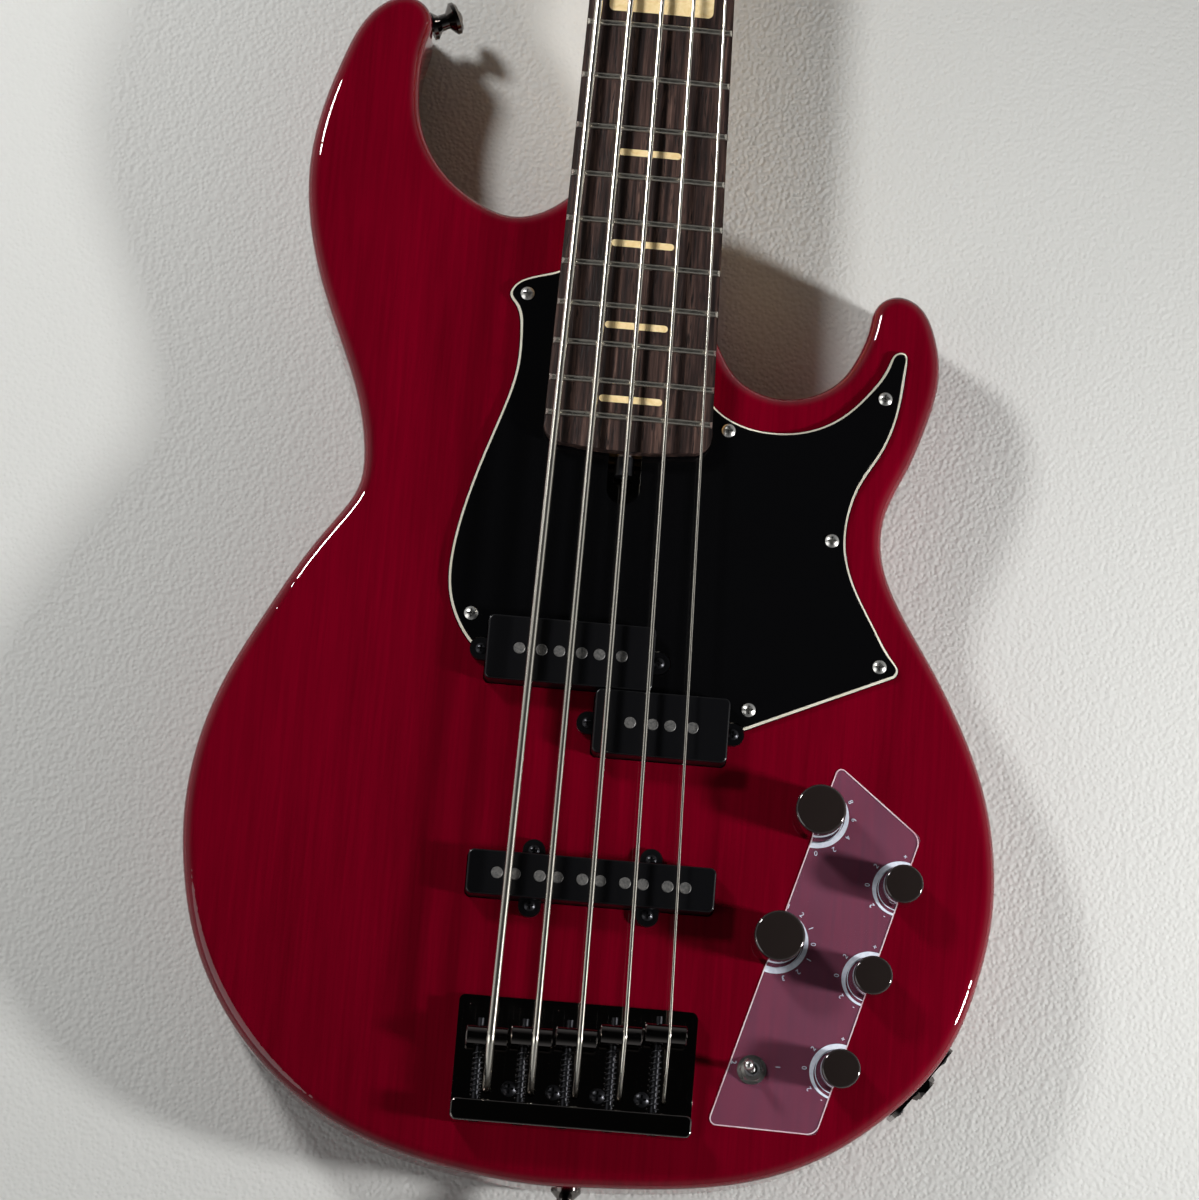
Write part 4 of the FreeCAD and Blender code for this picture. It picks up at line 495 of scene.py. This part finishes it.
def evenNormals(piece):
    # smooth over gentle edges only, with large faces leading, so that flats stay flat
    smoothed(piece, "machined")
    even = piece.modifiers.new("evenNormals", "WEIGHTED_NORMAL")
    even.keep_sharp = True
    bpy.ops.object.modifier_apply(modifier="evenNormals")


def thickened(piece, thick):
    # an open sheet made solid, growing the way it faces
    skin = piece.modifiers.new("skin", "SOLIDIFY")
    skin.thickness = thick
    skin.offset = 1.0
    bpy.ops.object.modifier_apply(modifier="skin")


def coated(piece, material):
    piece.data.materials.clear()
    piece.data.materials.append(material)


def finished(piece, material, body):
    coated(piece, material)
    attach(piece, body)


# plated bridge, saddles and guard: copies whose edges have a hair of rounding, so that they catch light as
# made ones do

saddleNames = ("saddle_b", "saddle_e", "saddle_a", "saddle_d", "saddle_g")
softEdge = {"segments": 3, "angle": 40, "flat": 1}
softPieces = {
    "bridge_plate": {"width": 0.0003, "body": "instrument", "slot": "black_plate"},
    "pickguard": {"width": 0.0003, "body": "instrument", "slot": "black_ply", "topOnly": True},
    **{name: {"width": 0.0004, "body": name, "slot": "black_plate"} for name in saddleNames},
}


def modelSoftEdges(node, name, soft):
    piece = mergedCopy(node, name)
    openAll()
    bpy.ops.mesh.dissolve_limited(angle_limit=math.radians(softEdge["flat"]))
    close()
    if soft.get("topOnly"):
        top = max(vertex.co.z for vertex in piece.data.vertices)
        pickEdges(piece, lambda a, b: min(a.z, b.z) > top - hair)
        bpy.ops.mesh.bevel(offset=soft["width"], segments=softEdge["segments"], clamp_overlap=True)
        close()
    else:
        edge = piece.modifiers.new("softEdge", "BEVEL")
        edge.width = soft["width"]
        edge.segments = softEdge["segments"]
        edge.limit_method = "ANGLE"
        edge.angle_limit = math.radians(softEdge["angle"])
        bpy.ops.object.modifier_apply(modifier="softEdge")
    evenNormals(piece)
    return piece


for node, soft in softPieces.items():
    piece = modelSoftEdges(node, node + "Soft", soft)
    finished(piece, finishes[soft["slot"]], soft["body"])
    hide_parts(node)
print("edges softened on", len(softPieces), "pieces")


# lacquered body: a copy whose rim shades as the even quarter round it is, so that highlights run clean on it

bodyRim = {"top": 0.045, "round": 0.006, "slack": 0.2, "least": 0.03}


def shadeRim(piece):
    mesh = piece.data
    normals = [corner.vector.copy() for corner in mesh.corner_normals]
    for k, loop in enumerate(mesh.loops):
        height = mesh.vertices[loop.vertex_index].co.z
        rise = 1 - min(height, bodyRim["top"] - height) / bodyRim["round"]
        lean = abs(normals[k].z)
        # only corners that already lean about as the round does, not the walls of the routs
        if rise > 0 and lean > bodyRim["least"] and abs(lean - rise) < bodyRim["slack"]:
            level = math.sqrt(max(0, 1 - rise * rise))
            flat = Vector((normals[k].x, normals[k].y, 0)).normalized() * level
            normals[k] = Vector((flat.x, flat.y, math.copysign(rise, normals[k].z)))
    mesh.normals_split_custom_set(normals)


lacqueredBody = mergedCopy("body", "bodyLacquered")
smoothed(lacqueredBody, "machined")
shadeRim(lacqueredBody)
finished(lacqueredBody, finishes["cherry_lacquer"], "instrument")
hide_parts("body")
print("body rim shaded")


# frets: a copy with its ends dressed to a slope along each side of the board, where they glint

fretEnds = {"body": (0.0351, 0.2567, 0.0545), "head": (0.0231, 0.8151, 0.0551), "slope": 40}


def modelDressedFrets():
    wires = mergedCopy("frets", "fretsDressed")
    slope = math.radians(fretEnds["slope"])
    for side in (-1, 1):
        low, high = [Vector((side * x, y, z)) for x, y, z in (fretEnds["body"], fretEnds["head"])]
        outward = (high - low).cross(Vector((0, 0, side))).normalized()
        facing = outward * math.cos(slope) + Vector((0, 0, math.sin(slope)))
        openAll()
        bpy.ops.mesh.bisect(plane_co=low, plane_no=facing, use_fill=True, clear_outer=True)
    close()
    smoothed(wires, "frets")
    return wires


dressedFrets = modelDressedFrets()
finished(dressedFrets, finishes["fret_nickel"], "instrument")
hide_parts("frets")
print("frets dressed")


# clear film: the solid's sheet with its underside lifted off the lacquer, so that the two faces don't flicker

filmLift = 0.00005
filmSheet = mergedCopy("control_film", "filmSheet")
pickFaces(filmSheet, lambda normal: normal.z < -levelFace)
bpy.ops.transform.translate(value=(0, 0, filmLift))
close()
evenNormals(filmSheet)
finished(filmSheet, finishes["clear_film"], "instrument")
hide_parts("control_film")
print("film lifted")


# strings and springs: copies of the solids, each string cut in two at its saddle with its ball end joined to
# the part behind, then coated and baked in place. Parts shorter than ballUnder are ball ends.

stringRun = {"held": 0.006, "ease": 0.12, "tail": 0.0035, "bend": 0.004, "ballUnder": 0.1}


def looseParts(node):
    # the separate solids of a node as pieces of their own
    mergedCopy(node, node + "Part")
    openAll()
    bpy.ops.mesh.separate(type="LOOSE")
    close()
    return list(bpy.context.selected_objects)


def pointAt(piece, pick):
    return pick((vertex.co for vertex in piece.data.vertices), key=lambda point: point.y)


def saddleOf(piece):
    # the saddle in line with the piece's bridge end
    x = pointAt(piece, min).x
    return min(saddleNames, key=lambda name: abs(sum(corner.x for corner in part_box(name)) / 2 - x))


def keepSide(piece, y, front):
    only(piece)
    openAll()
    bpy.ops.mesh.bisect(plane_co=(0, y, 0), plane_no=(0, 1, 0), use_fill=True,
                        clear_inner=front, clear_outer=not front)
    close()
    smoothed(piece, "wire")


def givesWay(piece, finish, node, start, end):
    coated(piece, finishes[finish])
    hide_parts(node)
    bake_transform(piece)


for spring in looseParts("saddle_springs"):
    smoothed(spring, "wire")
    saddle = saddleOf(spring)
    spring.name = "spring_" + saddle
    givesWay(spring, "black_screw", "saddle_springs", pointAt(spring, max).y, pointAt(spring, min).y)

stringParts = looseParts("strings")
ballEnds = {saddleOf(part): part for part in stringParts if part.dimensions.y < stringRun["ballUnder"]}
for part in [part for part in stringParts if part.dimensions.y > stringRun["ballUnder"]]:
    saddle = saddleOf(part)
    crest = sum(corner.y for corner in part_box(saddle)) / 2
    hole = pointAt(ballEnds[saddle], max).y
    tail = copyAt(part, "stringTail_" + saddle, (0, 0, 0))
    keepSide(tail, crest, False)
    tail = joined([tail, ballEnds[saddle]], "stringTail_" + saddle)
    keepSide(part, crest, True)
    part.name = "stringLong_" + saddle
    givesWay(tail, "string_nickel", "strings", crest - stringRun["tail"], hole + stringRun["bend"])
    givesWay(part, "string_nickel", "strings", crest + stringRun["held"], crest + stringRun["ease"])


# knobs: turned barrels with a shallow crown, a rounded rim and a grub screw hole in the side

knobShapes = {
    "large": {"radius": 0.0104, "height": 0.019, "rim": 0.0014, "crown": 0.00035,
              "foot": 0.0006, "hole": 0.0013},
    "small": {"radius": 0.008, "height": 0.0155, "rim": 0.0012, "crown": 0.0003,
              "foot": 0.0005, "hole": 0.0012},
}
# sides and steps are counts, the profile is a round one, and the rest are shares of the sizes above
knobBuild = {"sides": 72, "rimInset": 1.4, "rimSteps": 5, "rimProfile": 0.5, "outermost": 0.99,
             "crownInset": 0.24, "crownRises": (0.55, 0.3, 0.15),
             "footInset": 1.5, "footDepth": 2, "footSteps": 2,
             "holeSides": 20, "holeOut": 1.2, "holeHeight": 0.45}
knobPlaces = {
    "volume_knob": ("large", 40), "balance_knob": ("large", 110),
    "bass_knob": ("small", -30), "middle_knob": ("small", 75), "treble_knob": ("small", 160),
}


def drillKnob(knob, shape):
    radius = shape["radius"]
    bpy.ops.mesh.primitive_cylinder_add(
        vertices=knobBuild["holeSides"], radius=shape["hole"], depth=radius, rotation=(math.pi / 2, 0, 0),
        location=(0, -radius * knobBuild["holeOut"], shape["height"] * knobBuild["holeHeight"]))
    drill = bpy.context.object
    only(knob)
    hole = knob.modifiers.new("grubHole", "BOOLEAN")
    hole.object = drill
    hole.operation = "DIFFERENCE"
    bpy.ops.object.modifier_apply(modifier="grubHole")
    bpy.data.objects.remove(drill)


def modelKnob(name, shape):
    radius = shape["radius"]
    foot = shape["foot"]
    top = shape["height"] - shape["crown"]
    outermost = radius * knobBuild["outermost"]
    bpy.ops.mesh.primitive_cylinder_add(
        vertices=knobBuild["sides"], radius=radius, depth=top, location=(0, 0, top / 2))
    knob = settled(bpy.context.object)
    knob.name = name
    pickFaces(knob, lambda normal: normal.z > levelFace)
    bpy.ops.mesh.inset(thickness=shape["rim"] * knobBuild["rimInset"])
    for share in knobBuild["crownRises"]:
        bpy.ops.mesh.inset(thickness=radius * knobBuild["crownInset"], depth=shape["crown"] * share)
    pickEdges(knob, lambda a, b: min(a.z, b.z) > top - hair and min(a.xy.length, b.xy.length) > outermost)
    bpy.ops.mesh.bevel(offset=shape["rim"], segments=knobBuild["rimSteps"], profile=knobBuild["rimProfile"])
    pickFaces(knob, lambda normal: normal.z < -levelFace)
    bpy.ops.mesh.inset(thickness=foot * knobBuild["footInset"])
    bpy.ops.mesh.inset(thickness=foot, depth=-foot * knobBuild["footDepth"])
    pickEdges(knob, lambda a, b: max(a.z, b.z) < hair and min(a.xy.length, b.xy.length) > outermost)
    bpy.ops.mesh.bevel(offset=foot, segments=knobBuild["footSteps"])
    close()
    drillKnob(knob, shape)
    smoothed(knob, "machined")
    return knob


knobFinish = makeBlackPlate("blackChromeKnob", "#2b2422", 0.4, 1.0)
for kind, shape in knobShapes.items():
    first = modelKnob(kind + "Knob", shape)
    for node, (size, turn) in knobPlaces.items():
        if size == kind:
            low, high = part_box(node)
            place = ((low[0] + high[0]) / 2, (low[1] + high[1]) / 2, high[2] - shape["height"])
            knob = copyAt(first, node + "Turned", place, math.radians(turn))
            finished(knob, knobFinish, node)
            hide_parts(node)
    bpy.data.objects.remove(first)
print("knobs modelled")


# printed dials on the film: a tapering band and a thin line round each knob, with plain numbers and signs

filmCorners = {"lowLeft": (0.0543, -0.034), "lowRight": (0.099, -0.035),
               "topRight": (0.1345, 0.0905), "topLeft": (0.0985, 0.1185)}
filmEdges = {"left": ("lowLeft", "topLeft", 1), "right": ("lowRight", "topRight", -1)}
toneDial = {"outer": 0.0115, "band": 0.0019, "slip": 0.001, "heavy": 80, "edge": "right",
            "marks": "2 0 2", "angles": (215, 140), "signs": (("+", 84), ("-", 244))}
dialShapes = {
    "volume": {"centre": (0.0908, 0.096), "outer": 0.0133, "band": 0.0016, "slip": 0.001, "heavy": -95,
               "edge": "left", "marks": "0 2 4 6 8", "angles": (-88, 28), "signs": ()},
    "balance": {"centre": (0.0774, 0.0428), "outer": 0.0133, "band": 0.0015, "slip": 0.0008, "heavy": -80,
                "edge": "left", "marks": "3 2 1 0 1 2 3", "angles": (-75, 75), "signs": ()},
    "bass": {"centre": (0.127, 0.0687), **toneDial},
    "middle": {"centre": (0.1167, 0.0303), **toneDial},
    "treble": {"centre": (0.106, -0.0085), **toneDial},
}
switchMarks = {"centre": (0.071, -0.0105), "marks": (("1", (0.0105, 0.002)), ("2", (-0.0075, 0.0025)))}
printSizes = {"height": 0.0022, "letter": 1.35, "curve": 3, "gap": 0.0009, "line": 0.00035, "lineIn": 0.0022,
              "thick": 0.00004, "margin": 0.0004, "sides": 96}
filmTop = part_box("control_film")[1][2]


def cutAtEdge(edge):
    # trims the open mesh at the film's edge, a little inside it
    start, end, side = filmEdges[edge]
    (x0, y0), (x1, y1) = filmCorners[start], filmCorners[end]
    run = math.hypot(x1 - x0, y1 - y0)
    outward = (-(y1 - y0) / run * side, (x1 - x0) / run * side, 0)
    inside = [c - n * printSizes["margin"] for c, n in zip((x0, y0, filmTop), outward)]
    bpy.ops.mesh.select_all(action="SELECT")
    bpy.ops.mesh.bisect(plane_co=inside, plane_no=outward, clear_outer=True)


def faceOut():
    # all faces of the open mesh turned the same way, out of edit mode
    bpy.ops.mesh.select_all(action="SELECT")
    bpy.ops.mesh.normals_make_consistent(inside=False)
    close()


def modelRing(shape, outer, band, slip):
    x, y = shape["centre"]
    heavy = math.radians(shape["heavy"])
    bpy.ops.mesh.primitive_circle_add(
        vertices=printSizes["sides"], radius=outer, fill_type="NGON", location=(x, y, filmTop))
    ring = settled(bpy.context.object)
    openAll("FACE")
    bpy.ops.mesh.inset(thickness=band)
    bpy.ops.transform.translate(value=(-slip * math.cos(heavy), -slip * math.sin(heavy), 0))
    bpy.ops.mesh.delete(type="FACE")
    cutAtEdge(shape["edge"])
    faceOut()
    thickened(ring, printSizes["thick"])
    return ring


def modelMark(text, place, turn):
    bpy.ops.object.text_add(location=(*place, filmTop + printSizes["thick"]), rotation=(0, 0, turn))
    mark = bpy.context.object
    mark.data.body = text
    mark.data.size = printSizes["height"] * printSizes["letter"]
    mark.data.align_x = "CENTER"
    mark.data.align_y = "CENTER"
    mark.data.resolution_u = printSizes["curve"]
    bpy.ops.object.convert(target="MESH")
    return settled(mark)


# screen ink: flat bluish white, a little uneven.
def makePrint():
    material, tree, shader, place = newMaterial("whitePrintMatt", {"Roughness": 0.6})
    feed(tree, shader, "Base Color", toned(tree, noise(tree, place, 1.5), (0.3, "#c9cfdd"), (0.7, "#dfe4ee")))
    return material


printed = []
for shape in dialShapes.values():
    x, y = shape["centre"]
    printed.append(modelRing(shape, shape["outer"], shape["band"], shape["slip"]))
    printed.append(modelRing(shape, shape["outer"] - printSizes["lineIn"], printSizes["line"], 0))
    marks = shape["marks"].split()
    away = shape["outer"] + printSizes["gap"] + printSizes["height"] / 2
    first, last = shape["angles"]
    spots = [(mark, first + (last - first) * k / (len(marks) - 1)) for k, mark in enumerate(marks)]
    for mark, angle in spots + list(shape["signs"]):
        a = math.radians(angle)
        printed.append(modelMark(mark, (x + away * math.cos(a), y + away * math.sin(a)), a - math.pi / 2))
for mark, (dx, dy) in switchMarks["marks"]:
    x, y = switchMarks["centre"]
    printed.append(modelMark(mark, (x + dx, y + dy), -math.pi / 2))
filmPrint = joined(printed, "filmPrint")
finished(filmPrint, makePrint(), "instrument")
print("film print modelled")


# painted highlight along the film's cut edge: a narrow pale strip standing in for the line of light the edge
# gathers

filmRim = {"round": 0.004, "steps": 8, "width": 0.0005, "thick": 0.00006}


def modelFilmRim():
    bpy.ops.mesh.primitive_plane_add(location=(0, 0, 0))
    rim = bpy.context.object
    rim.name = "filmEdgeHighlightStrip"
    corners = list(filmCorners.values())
    middle = [sum(corner[k] for corner in corners) / len(corners) for k in (0, 1)]
    around = sorted(corners, key=lambda corner: math.atan2(corner[1] - middle[1], corner[0] - middle[0]))
    for vertex in rim.data.vertices:
        # the plane's corners lie a quarter turn apart, in the same order as the film's
        turn = math.atan2(vertex.co.y, vertex.co.x)
        nearest = int((turn + math.pi) / (math.pi / 2))
        vertex.co = (*around[nearest], filmTop)
    openAll()
    bpy.ops.mesh.bevel(offset=filmRim["round"], segments=filmRim["steps"], affect="VERTICES")
    bpy.ops.mesh.select_mode(type="FACE")
    bpy.ops.mesh.select_all(action="SELECT")
    bpy.ops.mesh.inset(thickness=filmRim["width"])
    bpy.ops.mesh.delete(type="FACE")
    faceOut()
    thickened(rim, filmRim["thick"])
    return rim


# painted highlight for the film's cut edge: pale pink-white, partly see-through.
def makeFilmEdgeHighlight():
    material, tree, shader, place = newMaterial("filmEdgePaintedHighlight", {"Roughness": 0.3, "Alpha": 0.75})
    feed(tree, shader, "Base Color", toned(tree, noise(tree, place, 14), (0.3, "#d9a9b6"), (0.6, "#f3dde2")))
    return material


finished(modelFilmRim(), makeFilmEdgeHighlight(), "instrument")
print("film edge modelled")


# camera, lights and floor

cameraPlace = {"location": (-0.038984, -0.167036, 1.569301), "turn": (12.67882, -2.24968, 4.47455),
               "lens": 112.148, "sensor": 36.0, "reach": 50.0}
lamps = {
    "softKey": {"location": (1.06, -0.1, 0.55), "aim": (-0.12, 0.18, 0.0),
                "size": 0.15, "spread": 84, "power": 3.5},
    "softLeft": {"location": (-0.72, 0.82, 0.8), "aim": (0.0, 0.25, 0.0),
                 "size": 0.2, "spread": 180, "power": 9.0},
    "softFill": {"location": (-1.2, -0.5, 0.9), "aim": (0.0, 0.1, 0.0),
                 "size": 1.2, "spread": 180, "power": 5.0},
}
# a dim ceiling and brighter walls: flat gloss stays deep, rounded edges catch pale lines
roomLight = {"tint": "#f2f4f6", "ends": 0.5,
             "heights": [(0.0, 0.5), (0.35, 0.42), (0.72, 0.09), (0.9, 0.018), (1.0, 0.014)]}
floorSize = {"half": 4.0, "place": (0, 0.4, -0.0005), "colour": "#cfcfcb", "grain": 1.7, "strength": 0.5,
             "deep": 0.0008}

camera = bpy.data.cameras.new("photoCamera")
camera.lens = cameraPlace["lens"]
camera.sensor_width = cameraPlace["sensor"]
camera.clip_end = cameraPlace["reach"]
cameraObject = bpy.data.objects.new("photoCamera", camera)
bpy.context.scene.collection.objects.link(cameraObject)
cameraObject.location = cameraPlace["location"]
cameraObject.rotation_euler = [math.radians(a) for a in cameraPlace["turn"]]
bpy.context.scene.camera = cameraObject

for name, lamp in lamps.items():
    light = bpy.data.lights.new(name, "AREA")
    light.shape = "DISK"
    light.size = lamp["size"]
    light.spread = math.radians(lamp["spread"])
    light.energy = lamp["power"]
    lightObject = bpy.data.objects.new(name, light)
    bpy.context.scene.collection.objects.link(lightObject)
    lightObject.location = lamp["location"]
    aim = Vector(lamp["aim"]) - Vector(lamp["location"])
    lightObject.rotation_euler = aim.to_track_quat("-Z", "Y").to_euler()

world = bpy.data.worlds.new("softRoom")
world.use_nodes = True
roomTree = world.node_tree
direction = put(roomTree, "SeparateXYZ", {"Vector": put(roomTree, "TexCoord").outputs["Object"]})
tint = srgb(roomLight["tint"])[:3]
levels = [(height, [value * c for c in tint] + [1.0]) for height, value in roomLight["heights"]]
sideways = reckoned(roomTree, "ABSOLUTE", direction.outputs["X"])
background = roomTree.nodes["Background"]
feed(roomTree, background, "Color", ramped(roomTree, direction.outputs["Z"], levels))
feed(roomTree, background, "Strength", between(roomTree, sideways, roomLight["ends"], 1.0))
bpy.context.scene.world = world


# pale floor: a matt sheet with a fine pebbled grain that breaks up the shadows.
def makeFloor():
    material, tree, shader, place = newMaterial(
        "paleFloorMatt", {"Base Color": srgb(floorSize["colour"]), "Roughness": 0.8})
    grain = pebbles(tree, place, floorSize["grain"], feature="SMOOTH_F1")
    relief(tree, shader, grain, floorSize["strength"], floorSize["deep"])
    return material


bpy.ops.mesh.primitive_plane_add(size=2 * floorSize["half"], location=floorSize["place"])
floor = bpy.context.object
floor.name = "paleFloor"
floor.data.materials.append(makeFloor())
print("camera, lamps and floor placed")

bpy.context.scene.view_settings.view_transform = "Standard"
